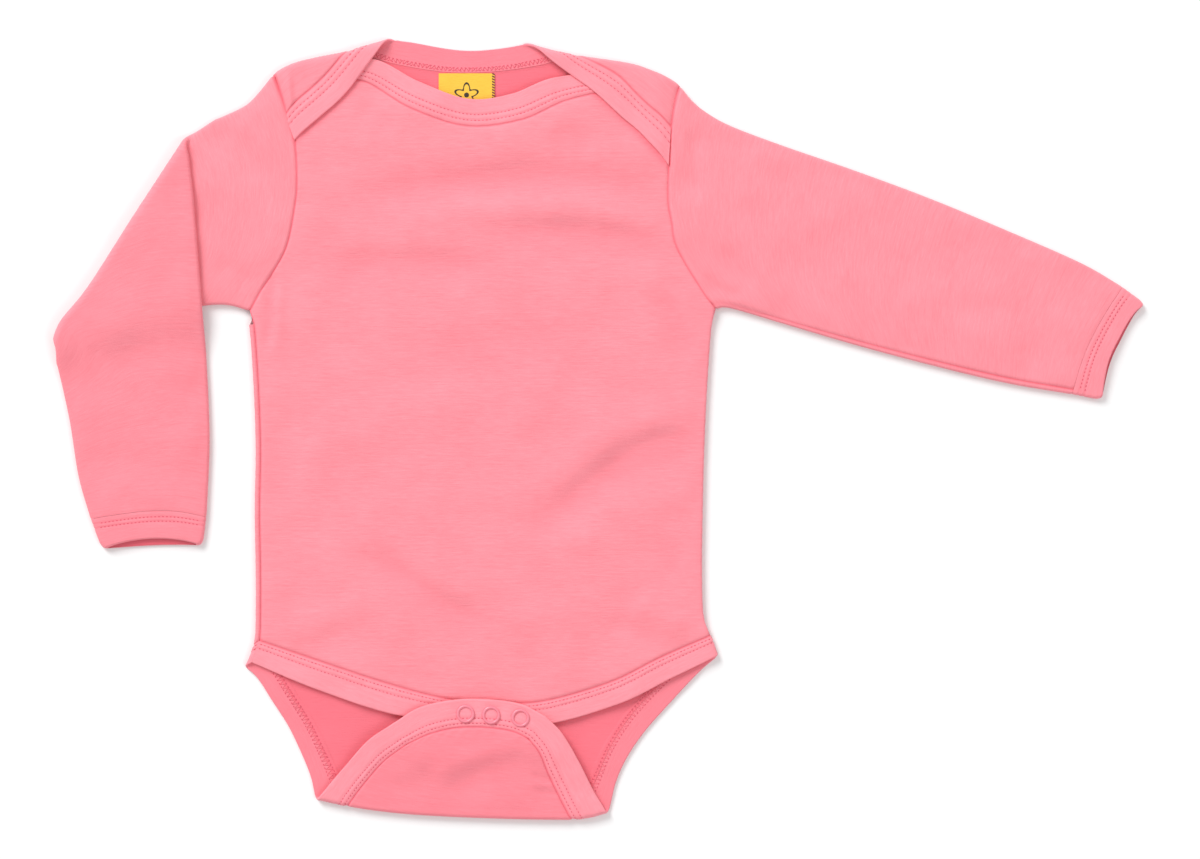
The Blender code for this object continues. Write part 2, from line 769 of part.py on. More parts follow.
def add_snap(number, x, y):
    """An open ring cap on the flap, and the stud and socket hidden beneath it."""
    flap_top = 2 * CROTCH_RADIUS + FLAP_LIFT
    outer = SNAP_DIAMETER / 2
    inner = SNAP_BORE / 2
    profile = (
        (inner, 0.0),
        (outer, 0.0),
        (outer, SNAP_HEIGHT - SNAP_ROUND),
        (outer - SNAP_ROUND, SNAP_HEIGHT),
        (inner + SNAP_ROUND, SNAP_HEIGHT),
        (inner, SNAP_HEIGHT - SNAP_ROUND),
    )
    cap = bmesh.new()
    verts = [cap.verts.new((radius, 0, flap_top + GAP + height)) for radius, height in profile]
    edges = [cap.edges.new((vert, verts[k - 1])) for k, vert in enumerate(verts)]
    bmesh.ops.spin(
        cap,
        geom=verts + edges,
        cent=(0, 0, 0),
        axis=(0, 0, 1),
        angle=2 * math.pi,
        steps=SNAP_STEPS,
        use_merge=True,
    )
    bmesh.ops.translate(cap, vec=(x, y, 0), verts=cap.verts)
    add_piece(f"snap_cap_{number}", cap, SNAP_ENAMEL)

    stud = bmesh.new()
    bmesh.ops.create_cone(
        stud,
        cap_ends=True,
        segments=SNAP_STEPS,
        radius1=STUD_DIAMETER / 2,
        radius2=STUD_DIAMETER / 2,
        depth=STUD_HEIGHT,
    )
    stud_foot = 2 * SIDE_RADIUS + PROUD + GAP + STUD_CLEARANCE
    bmesh.ops.translate(stud, vec=(x, y, stud_foot + STUD_HEIGHT / 2), verts=stud.verts)
    add_piece(f"snap_stud_{number}", stud, SNAP_ENAMEL)


def main():
    for thing in list(bpy.data.objects):
        bpy.data.objects.remove(thing)
    cut = cut_lines()
    add_back(cut)
    add_front(cut)
    add_bindings(cut)
    add_sleeves(cut)
    add_label()
    for number, (x, y) in enumerate(SNAP_PLACES, 1):
        add_snap(number, x, y)


main()
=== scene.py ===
"""Looks of the long-sleeved baby bodysuit, laid flat with its front up.

Lengths in the tables are millimetres; points are turned into metres when a mesh is made. Each
piece of cloth starts as its flat cut shape, is turned over the folds that it crosses and then
gets its relief: the air under it, its creases, and the pull of its seams.
"""

import math

import bpy
import numpy as np
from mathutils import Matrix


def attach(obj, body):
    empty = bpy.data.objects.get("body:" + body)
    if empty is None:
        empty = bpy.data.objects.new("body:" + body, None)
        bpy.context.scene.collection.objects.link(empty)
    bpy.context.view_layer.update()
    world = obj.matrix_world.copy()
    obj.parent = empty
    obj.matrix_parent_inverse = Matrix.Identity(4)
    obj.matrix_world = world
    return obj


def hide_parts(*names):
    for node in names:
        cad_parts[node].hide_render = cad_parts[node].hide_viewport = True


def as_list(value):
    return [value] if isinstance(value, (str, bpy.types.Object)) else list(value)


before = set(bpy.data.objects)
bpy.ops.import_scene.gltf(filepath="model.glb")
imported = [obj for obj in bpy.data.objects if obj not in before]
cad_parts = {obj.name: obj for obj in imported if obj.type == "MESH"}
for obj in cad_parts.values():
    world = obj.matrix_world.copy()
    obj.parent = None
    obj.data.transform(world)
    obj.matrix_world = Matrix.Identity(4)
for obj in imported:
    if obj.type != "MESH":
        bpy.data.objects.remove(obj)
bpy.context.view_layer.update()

MM = 0.001

# Thicknesses and bends, as in the solids.
WALL = 1.0
BINDING = 1.4
SIDE_RADIUS = 1.6
SHOULDER_RADIUS = 2.55
CROTCH_RADIUS = 2.0
SLEEVE_FOLD_RADIUS = 2 * SIDE_RADIUS + 0.15
SEAM_ROLL = 1.1
SIDE_BEND = math.pi * SIDE_RADIUS
FRONT_RISE = 2.3
FRONT_LOWEST = -0.55  # where the front meets the back beneath it
FLAP_LIFT = 2.8
FLAP_LIFT_REACH = 42.0

# Fineness of the cloth.
PANEL_STEP = 2.0
BACK_STEP = 2.3
FOLD_STEP = 1.0
SLEEVE_STEP = 2.0
BAND_STEP = 1.5
EDGE_STEPS = 8
SEAM_LINES = (0.0, 0.45, 0.95, 1.6, 2.6)

# Seams.
SEAM_GAP = 0.06  # seam to the middle of the groove, on each side
GROOVE_DEPTH = 0.6
GROOVE_WIDTH = 0.85
PUCKER = 0.13
PUCKER_LENGTH = 6.3
STITCH_PITCH = 2.0
STITCH_LENGTH = 1.15
STITCH_WIDTH = 0.52
NECK_ROWS = (3.0, 6.1)  # rows of coverstitch, from the seam
HEM_ROWS = (1.6, 3.9)
LEG_ROWS = (1.6, 3.9)
CUFF_ROWS = (3.0, 5.5)
CUFF_GROOVE = 0.35  # depth of a cuff's seam, as a share of the other seams'
NECK_LOOPER = (2.1, 1.0)  # middle of the threads inside, from the seam, and half their width
LEG_LOOPER = (0.3, 2.0)
LOOPER_PITCH = 1.2
ALLOWANCE = 4.2  # the trimmed edge inside a bound seam
ALLOWANCE_STEP = 0.35
ROW_DEPTH = 0.26  # how far a row of stitches draws the cloth in, and how wide it does so
ROW_WIDTH = 0.62
THREAD_SWELL = 0.17  # half the height of a stitch
THREAD_DIP = 0.16  # how far its ends go down
AHEAD = 0.3  # over which a line's direction is taken

# Bindings, cuffs and sleeve heads.
EDGE_LINES = (0.0, 0.08, 0.2, 0.4, 0.7, 1.1)  # grid lines, in from a folded edge
NECK_FRONT_WIDTH = 14.4
NECK_BACK_WIDTH = 14.5
HEM_WIDTH = 12.0
LEG_WIDTH = 12.8
HEAD_SHARE = 0.42  # how much thicker the sleeve is at its head, where the lap is sewn in
HEAD_LENGTH = 10.0
HEAD_WIDTH = 36.0
SLEEVE_ALLOWANCE = 1.2  # how far the sleeve goes in under the body's edge at the armhole
SLEEVE_ALLOWANCE_DEPTH = 1.25
CORNER_ROUND = 2.2  # how far the corners of a cuff's opening are rounded off
LABEL_THICKNESS = 0.5

# Relief that isn't a crease.
WAVE_HEIGHT = 0.0024  # of the cloth's unevenness, for each millimetre of a wave's length
WAVE_COUNT = 26
UNDER_FADE = 12.0  # over which the underside's creases fade at a fold
SLEEVE_CALM = 8.0  # over which a sleeve's creases fade at its edges
FOLD_TAIL = 0.4  # past each end of a fold's outline, where the fold stops

# Painted shade mixed into the cloth's colour, 0 to 1: inside, in seams, stitch rows and creases,
# under the laps' edges, on the flap and the turned sleeve.
INSIDE_PAINTED_SHADE = 0.78
HOLLOW_PAINTED_SHADE = 0.07  # painted shade in a crease's trough, for each millimetre of depth
TURNED_PAINTED_SHADE = 0.16  # painted shade on the under layer of a sleeve, which shows once it is turned over
LAP_PAINTED_SHADOW = 0.6
LAP_PAINTED_SHADOW_WIDTH = 2.0
FLAP_PAINTED_SHADE = 0.30
SEAM_PAINTED_SHADE = 0.7
ROW_PAINTED_SHADE = 0.22

# Knit, and what lights and shows it. Here lengths are metres, but for the pitches.
# the deep pink that painted shade turns the cloth towards
PAINTED_SHADE_PINK = (0.88, 0.15, 0.20)
WALE_PITCH = 0.75
COURSE_PITCH = 0.55
FLOOR_HEIGHT = -0.0003  # just below the stitches of the underside
FLOOR_SIZE = 6
SKY = 0.585
VIEW_WIDTH = 0.624
LENS = 100
SENSOR = 36

# Outlines of the folds, each a row of (x, y) points.
RIGHT_SHOULDER_OUTLINE = (
    (-175.0, 180.0), (-170.0, 184.5), (-159.6, 190.1), (-147.7, 193.2), (-132.1, 196.3),
    (-122.2, 199.2), (-109.2, 203.0), (-105.0, 204.7),
)
LEFT_SHOULDER_OUTLINE = (
    (-41.2, 202.4), (-38.0, 200.9), (-26.0, 197.3), (-14.6, 194.9), (-4.2, 193.2),
    (16.1, 190.1), (26.0, 186.9), (33.3, 183.8), (42.1, 178.5), (47.0, 174.0),
)
CROTCH_OUTLINE = (
    (-160.0, -190.0), (-147.2, -192.3), (-130.0, -196.0), (-109.2, -198.9), (-88.4, -200.6),
    (-57.2, -202.0), (-26.0, -202.7), (-9.0, -202.2), (4.2, -198.9), (16.0, -194.0),
)
RIGHT_SIDE_OUTLINE = (
    (-184.0, 60.0), (-182.0, 51.7), (-179.9, 20.5), (-178.9, -10.7), (-179.4, -41.9),
    (-178.9, -73.0), (-178.9, -96.0), (-179.6, -109.5), (-183.4, -121.0), (-189.0, -130.0),
)
LEFT_SIDE_OUTLINE = (
    (60.2, 61.0), (58.2, 51.7), (56.0, 20.5), (54.6, -10.7), (53.8, -41.9), (53.4, -73.0),
    (54.2, -96.0), (57.6, -106.5), (61.2, -117.0), (66.0, -130.0),
)
SLEEVE_FOLD_OUTLINE = (
    (-213.0, 155.6), (-240.4, 113.6), (-266.2, 73.4), (-280.8, 55.6), (-284.2, 45.0),
)

# Seams and free edges as they lie: (x, y, turned), where turned is 0 on the lower layer, 0.5 on
# the fold itself and 1 where the cloth has been turned over the fold.
RIGHT_LEG_SEAM = (
    (-100.3, -163.2, 1), (-111.8, -171.8, 1), (-121.2, -182.2, 1), (-128.3, -191.4, 1),
    (-131.6, -195.8, 0.5), (-138.3, -181.2, 0), (-144.6, -167.2, 0), (-152.0, -152.1, 0),
    (-162.2, -135.8, 0), (-171.1, -121.9, 0),
)
LEFT_LEG_SEAM = (
    (-37.1, -160.1, 1), (-31.2, -167.8, 1), (-26.6, -179.2, 1), (-21.0, -190.9, 1),
    (-14.2, -201.8, 0.5), (-3.6, -184.9, 0), (5.2, -165.1, 0), (15.6, -149.0, 0),
    (29.0, -134.4, 0), (44.2, -119.9, 0),
)
FLAP_SEAM = (
    (-100.3, -163.2, 1), (-88.0, -157.6, 1), (-74.2, -154.4, 1), (-59.4, -154.2, 1),
    (-45.6, -156.2, 1), (-37.1, -160.1, 1),
)
RIGHT_LEG_EDGE = (
    (-107.6, -152.4, 1), (-120.3, -161.2, 1), (-132.6, -175.0, 1), (-141.5, -185.5, 1),
    (-147.2, -192.6, 0.5), (-150.3, -180.5, 0), (-155.5, -167.5, 0), (-162.0, -154.0, 0),
    (-170.5, -140.7, 0), (-178.6, -128.5, 0),
)
LEFT_LEG_EDGE = (
    (-28.5, -148.4, 1), (-19.6, -157.5, 1), (-11.0, -172.0, 1), (-3.0, -188.0, 1),
    (4.0, -199.4, 0.5), (8.4, -183.0, 0), (14.6, -169.5, 0), (24.0, -156.0, 0),
    (36.5, -142.0, 0), (51.0, -126.5, 0),
)
FLAP_EDGE = (
    (-107.6, -152.4, 1), (-93.6, -144.0, 1), (-76.0, -140.0, 1), (-58.2, -139.8, 1),
    (-41.0, -142.2, 1), (-28.5, -148.4, 1),
)
BACK_NECK_SEAM = (
    (-163.3, 163.2, 1), (-145.1, 181.2, 1), (-130.0, 196.6, 0.5), (-113.0, 191.5, 0),
    (-85.3, 186.2, 0), (-65.0, 185.4, 0), (-45.0, 187.0, 0), (-25.0, 190.8, 0),
    (-13.0, 194.7, 0.5), (7.8, 184.8, 1), (20.8, 172.4, 1), (36.8, 157.0, 1),
)
BACK_NECK_EDGE = (
    (-158.6, 150.0, 1), (-134.0, 172.0, 1), (-109.4, 202.6, 0.5), (-105.0, 202.2, 0),
    (-97.0, 201.0, 0), (-80.5, 198.0, 0), (-67.6, 196.8, 0), (-54.0, 197.7, 0),
    (-41.2, 199.8, 0), (-36.8, 200.4, 0.5), (-6.2, 177.6, 1), (14.0, 159.8, 1),
    (35.6, 137.0, 1),
)
FRONT_NECK_SEAM = (
    (-144.5, 178.2), (-123.8, 181.2), (-98.3, 166.8), (-69.4, 157.6), (-40.8, 160.7),
    (-15.3, 171.5), (14.6, 175.5),
)
FRONT_NECK_EDGE = (
    (-166.3, 178.8), (-145.6, 189.2), (-118.6, 192.6), (-94.1, 180.7), (-68.6, 171.6),
    (-45.8, 174.2), (-22.4, 183.0), (14.6, 185.0), (38.0, 173.5),
)
FRONT_HEM_SEAM = (
    (-143.0, -120.9), (-106.1, -132.9), (-78.0, -139.9), (-55.0, -142.0), (-28.6, -140.7),
    (5.7, -130.8), (31.2, -118.3),
)
FRONT_HEM_EDGE = (
    (-171.1, -127.1), (-147.2, -134.9), (-109.2, -147.4), (-80.5, -151.6), (-55.5, -153.4),
    (-26.5, -152.9), (10.4, -142.2), (37.5, -128.9),
)
RIGHT_ARMHOLE = (
    (-181.8, 61.5), (-175.2, 73.6), (-163.3, 93.6), (-158.3, 116.8), (-157.3, 130.9),
    (-158.7, 150.9), (-164.1, 169.1), (-170.0, 184.0),
)
LEFT_ARMHOLE = (
    (60.0, 62.5), (53.3, 71.7), (40.4, 93.5), (37.3, 107.5), (35.4, 121.4), (36.6, 150.7),
    (38.8, 168.0), (41.6, 178.3),
)
FRONT_ARMHOLE_SHARE = 0.875  # how much of the armhole the front reaches, below the lap
LEFT_SLEEVE_TOP = (
    (47.3, 171.3), (54.6, 165.1), (67.6, 157.8), (93.6, 147.9), (132.6, 134.4), (171.6, 119.9),
    (210.6, 103.7), (249.6, 86.6),
)
LEFT_SLEEVE_BOTTOM = (
    (67.6, 63.0), (93.6, 55.4), (132.6, 43.9), (171.6, 33.5), (210.6, 24.2),
)
LEFT_CUFF_SEAM = (
    (271.4, 74.1), (264.6, 64.0), (256.7, 50.6), (250.4, 36.4), (245.0, 18.3),
)
LEFT_CUFF_EDGE = (
    (283.3, 65.2), (277.8, 59.6), (271.0, 47.1), (265.0, 34.0), (260.6, 15.3),
)
RIGHT_SLEEVE_TOP = (
    (-176.8, 175.5, 0), (-183.6, 168.7, 0), (-193.4, 163.7, 0), (-205.9, 158.0, 0),
    (-213.2, 151.0, 0.5), (-210.6, 120.0, 1), (-207.2, 77.0, 1), (-204.4, 36.1, 1),
    (-202.8, -5.5, 1),
)
RIGHT_SLEEVE_BOTTOM = (
    (-193.4, 64.6, 0), (-206.4, 64.2, 0), (-234.0, 59.5, 0), (-260.0, 53.3, 0),
    (-283.5, 47.0, 0.5), (-281.8, 34.0, 1), (-275.6, 4.9, 1), (-270.9, -24.3, 1),
)
RIGHT_CUFF_SEAM = (
    (-204.4, -45.4, 1), (-218.8, -42.6, 1), (-232.9, -42.3, 1), (-247.0, -43.7, 1),
    (-264.6, -46.5, 1),
)
RIGHT_CUFF_EDGE = (
    (-206.4, -60.2, 1), (-220.0, -60.0, 1), (-233.0, -60.3, 1), (-246.0, -61.1, 1),
    (-258.8, -62.0, 1),
)
RIGHT_HEM_Y = -109.5
LEFT_HEM_Y = -106.5
RIGHT_BINDING_END_Y = -121.0
LEFT_BINDING_END_Y = -117.0
RIGHT_SIDE_TOP_Y = 57.0
LEFT_SIDE_TOP_Y = 58.0
BODY_CENTRE_X = -61.5
BODY_HALF = 100.0
LABEL_CENTRE_X = -69.3
LABEL_TOP_Y = 185.0
LABEL_WIDTH = 29.0
LABEL_LENGTH = 22.5
SNAP_PLACES = ((-69.7, -147.3), (-56.4, -148.0), (-41.2, -149.4))
SNAP_RADIUS = 4.75
SNAP_BORE_RADIUS = 3.25

FRONT_DEPTH = 2.2
CREASE_SPREAD = 1.3
# Creases: start x, y, end x, y, bow to the left of that run, width each side, height.
# A ridge is above 0 and a trough below.
FRONT_CREASES = (
    (-152.0, 110.0, 44.0, 122.0, 13.0, 8.0, 7.0, -1.15),
    (-66.0, 103.0, 48.0, 95.0, 2.0, 6.0, 9.0, -1.05),
    (-110.0, 104.0, 20.0, 112.0, 6.0, 6.0, 6.0, 0.45),
    (0.0, 110.0, 36.0, 105.0, 1.0, 5.0, 5.0, 0.35),
    (-126.0, 170.0, -106.0, 154.0, 0.0, 4.0, 6.0, -0.45),
    (-28.0, 156.0, 0.0, 146.0, 1.0, 4.0, 6.0, -0.45),
    (-146.0, 84.0, -46.0, 82.0, 3.0, 6.0, 9.0, -0.95),
    (-170.5, 86.0, -173.0, 38.0, 1.0, 1.5, 2.4, -1.15),
    (-167.0, 80.0, -169.0, 34.0, 1.0, 2.5, 5.0, 0.45),
    (-150.0, 108.0, -128.0, 66.0, 3.0, 6.0, 9.0, -0.50),
    (-120.0, 40.0, 10.0, 34.0, 6.0, 12.0, 12.0, -0.50),
    (-150.0, -10.0, -60.0, 8.0, 5.0, 12.0, 14.0, 0.40),
    (30.0, 72.0, 49.0, 32.0, 2.0, 3.5, 6.0, -0.60),
    (22.0, 66.0, 38.0, 20.0, 2.0, 6.0, 8.0, 0.35),
    (62.0, -2.0, -38.0, -62.0, -13.0, 9.0, 6.5, -1.05),
    (58.0, 12.0, -26.0, -30.0, -9.0, 8.0, 8.0, 0.60),
    (30.0, -40.0, -34.0, -70.0, -6.0, 10.0, 8.0, 0.40),
    (-122.0, -58.0, -54.0, -107.0, -3.0, 5.0, 9.0, -1.05),
    (-104.0, -52.0, -44.0, -92.0, -3.0, 8.0, 9.0, 0.45),
    (-178.0, -112.0, -110.0, -80.0, -3.0, 6.0, 7.0, 0.40),
    (-172.0, -119.0, -106.0, -90.0, -3.0, 5.0, 7.0, -0.32),
    (14.0, -88.0, 48.0, -107.0, 1.0, 4.0, 5.0, 0.55),
    (2.0, -98.0, 34.0, -114.0, 1.0, 4.0, 5.0, -0.45),
    (46.0, -60.0, 18.0, -82.0, 3.0, 5.0, 7.0, -0.40),
    (-150.0, -10.0, -100.0, -24.0, -4.0, 9.0, 12.0, -0.30),
    (-172.0, 6.0, -160.0, -48.0, 2.0, 5.0, 9.0, -0.35),
)
LAP_CREASES = (
    (-162.5, 187.0, -160.5, 162.0, 0.8, 1.3, 2.4, 1.20),
    (-154.0, 190.0, -150.0, 170.0, 1.0, 3.0, 4.0, -0.35),
    (30.0, 186.0, 29.0, 164.0, 0.5, 3.0, 4.0, 0.35),
    (-30.0, 193.0, 6.0, 186.0, 1.0, 3.0, 4.0, 0.25),
    (-126.0, 197.0, -150.0, 176.0, 1.0, 3.0, 4.0, -0.25),
)
LAP_ENDS = ((-170.0, 184.0, -159.5, 151.5), (41.6, 178.3, 35.8, 139.0))
LAP_PRESS = 0.9
LAP_CLEARANCE = -0.40  # the lap's height over the front, less what the solids leave
LAP_PRESS_WIDTH = 4.0
FLAP_CREASES = (
    (-92.0, -184.0, -38.0, -160.0, 2.0, 4.0, 6.0, 0.80),
    (-82.0, -188.0, -30.0, -167.0, 2.0, 4.0, 7.0, -0.70),
    (-110.0, -190.0, -84.0, -178.0, 2.0, 4.0, 6.0, -0.40),
    (-38.0, -180.0, -22.0, -182.5, 0.3, 1.0, 1.3, -0.75),
    (-38.0, -183.0, -22.0, -185.5, 0.3, 1.2, 1.4, 0.50),
    (-36.0, -187.0, -22.0, -189.0, 0.3, 1.0, 1.5, -0.45),
    (-84.0, -160.0, -40.0, -164.0, -2.0, 3.5, 5.0, -0.35),
)
LEFT_SLEEVE_CREASES = (
    (46.0, 190.0, 38.0, 134.0, 0.0, 6.0, 5.0, 0.35),
    (47.0, 158.0, 49.0, 114.0, 2.0, 3.0, 6.0, -1.40),
    (54.0, 152.0, 58.0, 118.0, 2.0, 5.0, 6.0, 0.70),
    (66.0, 104.0, 90.0, 74.0, 3.0, 5.0, 7.0, 0.90),
    (58.0, 96.0, 82.0, 68.0, 3.0, 4.0, 5.0, -0.95),
    (53.0, 82.0, 76.0, 70.0, -4.0, 2.2, 3.6, -1.25),
    (60.0, 76.0, 92.0, 60.0, -3.0, 3.0, 4.0, 0.70),
    (112.0, 106.0, 150.0, 86.0, 3.0, 7.0, 10.0, -0.35),
    (176.0, 72.0, 194.0, 56.0, 2.0, 4.0, 5.0, -0.50),
    (214.0, 44.0, 230.0, 30.0, 1.0, 3.0, 5.0, -0.50),
    (206.0, 92.0, 226.0, 66.0, 2.0, 6.0, 8.0, -0.35),
)
RIGHT_SLEEVE_CREASES = (
    (-174.0, 194.0, -162.0, 142.0, 0.0, 5.0, 6.0, 0.35),
    (-204.0, 156.0, -172.0, 129.0, 3.0, 5.0, 8.0, -1.20),
    (-196.0, 160.0, -168.0, 140.0, 3.0, 5.0, 6.0, 0.50),
    (-206.0, 110.0, -172.0, 92.0, 2.0, 6.0, 8.0, -0.45),
    (-200.0, 86.0, -180.0, 72.0, 2.0, 3.0, 5.0, -0.85),
)
TURNED_SLEEVE_CREASES = (
    (-222.0, 138.0, -214.0, 92.0, 2.0, 4.0, 8.0, -0.60),
    (-266.0, 62.0, -222.0, 40.0, -5.0, 7.0, 11.0, -0.40),
    (-276.0, 46.0, -234.0, 22.0, -5.0, 6.0, 9.0, 0.45),
    (-264.0, -18.0, -210.0, -27.0, 3.0, 6.0, 9.0, -0.40),
    (-232.0, 96.0, -210.0, 60.0, 3.0, 6.0, 9.0, 0.40),
)
UNDERSIDE_CREASES = (
    (-150.0, 110.0, -60.0, 96.0, 5.0, 5.0, 9.0, 0.60),
    (30.0, 30.0, -50.0, -30.0, 8.0, 6.0, 10.0, 0.70),
    (-165.0, -40.0, -90.0, -100.0, -6.0, 5.0, 9.0, 0.60),
    (-20.0, -60.0, 40.0, -96.0, 3.0, 5.0, 8.0, 0.55),
    (-120.0, 20.0, -40.0, 44.0, 4.0, 7.0, 9.0, 0.45),
    (-110.0, -150.0, -60.0, -186.0, 4.0, 5.0, 7.0, 0.45),
)


def smooth(share):
    """0 to 1 with no corner at either end."""
    share = np.clip(share, 0.0, 1.0)
    return share * share * (3 - 2 * share)


def lengths(points):
    """The distance of each point along the line through them."""
    steps = np.linalg.norm(np.diff(points, axis=0), axis=1)
    return np.concatenate([[0.0], np.cumsum(steps)])


def along(points, distances):
    """Points at these distances along a line."""
    travelled = lengths(points)
    return np.column_stack([np.interp(distances, travelled, column) for column in points.T])


def curve(keys):
    """A fine smooth line through the keys."""
    keys = np.array([key[:2] for key in keys], float)
    held = np.vstack([2 * keys[0] - keys[1], keys, 2 * keys[-1] - keys[-2]])
    t = np.linspace(0, 1, 24, endpoint=False)[:, None]
    runs = []
    for a, b, c, d in zip(held, held[1:], held[2:], held[3:]):
        bend = (2 * a - 5 * b + 4 * c - d) * t**2 + (3 * b - a - 3 * c + d) * t**3
        runs.append(b + 0.5 * ((c - a) * t + bend))
    return np.vstack([*runs, keys[-1:]])


def marks_along(sections, step, ends=SEAM_LINES, far_ends=None, fine=()):
    """Fractions of a line of sections at which grid lines are put.

    One is put at each corner between sections, and they are closer at the two ends of the line
    and in the fine stretches, which are in millimetres.
    """
    corners = np.concatenate([[0.0], np.cumsum(sections)])
    total = corners[-1]
    far_ends = ends if far_ends is None else far_ends
    marks = []
    for low, high in zip(corners, corners[1:]):
        marks += list(np.linspace(low, high, max(1, round((high - low) / step)) + 1))
    marks = [mark for mark in marks if max(ends) + 0.4 < mark < total - max(far_ends) - 0.4]
    for low, high in fine:
        marks = [mark for mark in marks if not low - 0.4 < mark < high + 0.4]
        marks += list(np.linspace(low, high, round((high - low) / FOLD_STEP) + 1))
    for corner in corners[1:-1]:
        marks = [mark for mark in marks if abs(mark - corner) > 0.3] + [corner]
    marks += [*ends, *(total - d for d in far_ends)]
    return np.unique(np.round(marks, 3)) / round(total, 3), corners / total


def at_shares(line, fractions):
    return along(line, fractions * lengths(line)[-1])


def along_sections(lines, breaks, fractions):
    """Points at fractions of a run of lines, each of which fills its own stretch."""
    points = np.empty((len(fractions), 2))
    for line, low, high in zip(lines, breaks, breaks[1:]):
        inside = (fractions > low - 1e-6) & (fractions < high + 1e-6)
        points[inside] = at_shares(line, (fractions[inside] - low) / (high - low))
    return points


def sizes(lines):
    return np.array([lengths(line)[-1] for line in lines])


def patch(bottom, top, left, right, u, v):
    """A grid of flat points between four edges: u along bottom and top, v up the sides."""
    u, v = u[None, :, None], v[:, None, None]
    low_corners = (1 - u) * bottom[0] + u * bottom[-1]
    high_corners = (1 - u) * top[0] + u * top[-1]
    sides = (1 - u) * left[:, None] + u * right[:, None]
    ends = (1 - v) * bottom[None] + v * top[None]
    return sides + ends - (1 - v) * low_corners - v * high_corners


def grid_distances(flat):
    """How far each point of a grid is from its bottom, top, left and right edges."""
    up = np.linalg.norm(np.diff(flat, axis=0), axis=2).cumsum(axis=0)
    up = np.vstack([np.zeros((1, flat.shape[1])), up])
    across = np.linalg.norm(np.diff(flat, axis=1), axis=2).cumsum(axis=1)
    across = np.hstack([np.zeros((flat.shape[0], 1)), across])
    return up, up[-1] - up, across, across[:, -1:] - across


class Fold:
    """A line over which cloth is turned, then laid back on itself.

    outline is the line as seen from above, out points across it, away from the cloth, and
    radius is the height of the bend's centre. Past before and after the outline there is no fold.
    """

    def __init__(self, out, outline, radius, kept=None, open_ends=(0.0, 0.0), rounding=0):
        self.out = np.array(out, float) / np.hypot(*out)
        self.tangent = np.array((-self.out[1], self.out[0]))
        points = curve(outline)
        order = np.argsort(points @ self.tangent)
        stations = (points @ self.tangent)[order]
        reach = (points @ self.out)[order] - radius
        tails = [
            (stations[0] - FOLD_TAIL, reach[0] + open_ends[0]),
            (stations[-1] + FOLD_TAIL, reach[-1] + open_ends[1]),
        ]
        self.stations = np.concatenate([[tails[0][0]], stations, [tails[1][0]]])
        self.reach = np.concatenate([[tails[0][1]], reach, [tails[1][1]]])
        if rounding:
            window = np.hanning(2 * rounding + 3)[1:-1]
            stations = np.arange(self.stations[0] - 2 * rounding, self.stations[-1] + 2 * rounding)
            reach = np.pad(np.interp(stations, self.stations, self.reach), rounding, mode="edge")
            self.stations = stations
            self.reach = np.convolve(reach, window / window.sum(), mode="valid")
        self.radius = radius
        self.kept = kept or radius
        self.bend = math.pi * self.kept

    def straighten(self, flat):
        """How far along the fold, and how far past the start of its bend."""
        station = flat @ self.tangent
        return station, flat @ self.out - np.interp(station, self.stations, self.reach)

    def flatten(self, station, past):
        station = np.asarray(station, float)
        reach = np.interp(station, self.stations, self.reach) + past
        return station[..., None] * self.tangent + reach[..., None] * self.out

    def lay_flat(self, keys):
        """The keys of a seam or an edge, moved to where they are on the flat cut piece."""
        moved = []
        for x, y, turned in keys:
            station, past = self.straighten(np.array([x, y]))
            past = (past, self.bend / 2, self.bend - past)[round(2 * turned)]
            moved.append(self.flatten(station, past))
        return moved

    def lay_curve_flat(self, keys):
        """A smooth line through keys that cross the fold once, laid flat point by point."""
        line = curve(keys)
        marks = lengths(line)
        crossing = next(np.array(key[:2]) for key in keys if key[2] == 0.5)
        crossed = marks[np.argmin(np.linalg.norm(line - crossing, axis=1))]
        moved = []
        for mark in np.arange(0, marks[-1] + 0.1, marks[-1] / round(marks[-1] / 3.0)):
            x, y = along(line, np.array([mark]))[0]
            if self.straighten(np.array([x, y]))[1] < -self.radius and abs(mark - crossed) > 4:
                moved.append((mark, (x, y, int(mark > crossed))))
        moved = sorted([*moved, (crossed, (*crossing, 0.5))])
        return self.lay_flat([key for _, key in moved])

    def side(self, past, low, high):
        """A line up a side of the flat cut, this far past the start of the bend."""
        return self.flatten(np.linspace(low, high, 120) * self.tangent[1], past)

    def turn(self, points):
        """Where points of the flat cloth lie once turned, and how far round each is, 0 to 1."""
        station, past = self.straighten(points[:, :2])
        angle = np.clip(past / self.kept, 0, math.pi)
        over = np.maximum(past - self.bend, 0)
        arm = self.radius - points[:, 2]
        beyond = past > 0
        turned = self.flatten(station, np.where(beyond, arm * np.sin(angle) - over, past))
        height = np.where(beyond, self.radius - arm * np.cos(angle), points[:, 2])
        return np.column_stack([turned, height]), (1 - np.cos(angle)) / 2


RIGHT_SHOULDER = Fold((0, 1), RIGHT_SHOULDER_OUTLINE, SHOULDER_RADIUS, open_ends=(40, 0))
LEFT_SHOULDER = Fold((0, 1), LEFT_SHOULDER_OUTLINE, SHOULDER_RADIUS, open_ends=(0, 40))
CROTCH = Fold((0, -1), CROTCH_OUTLINE, CROTCH_RADIUS)
RIGHT_SIDE = Fold((-1, 0), RIGHT_SIDE_OUTLINE, SIDE_RADIUS, open_ends=(40, 40))
LEFT_SIDE = Fold((1, 0), LEFT_SIDE_OUTLINE, SIDE_RADIUS, open_ends=(40, 40))
SLEEVE_FOLD = Fold(
    (
        SLEEVE_FOLD_OUTLINE[-1][1] - SLEEVE_FOLD_OUTLINE[0][1],
        SLEEVE_FOLD_OUTLINE[0][0] - SLEEVE_FOLD_OUTLINE[-1][0],
    ),
    SLEEVE_FOLD_OUTLINE,
    SLEEVE_FOLD_RADIUS,
    kept=SLEEVE_FOLD_RADIUS / 2,
    rounding=9,
)


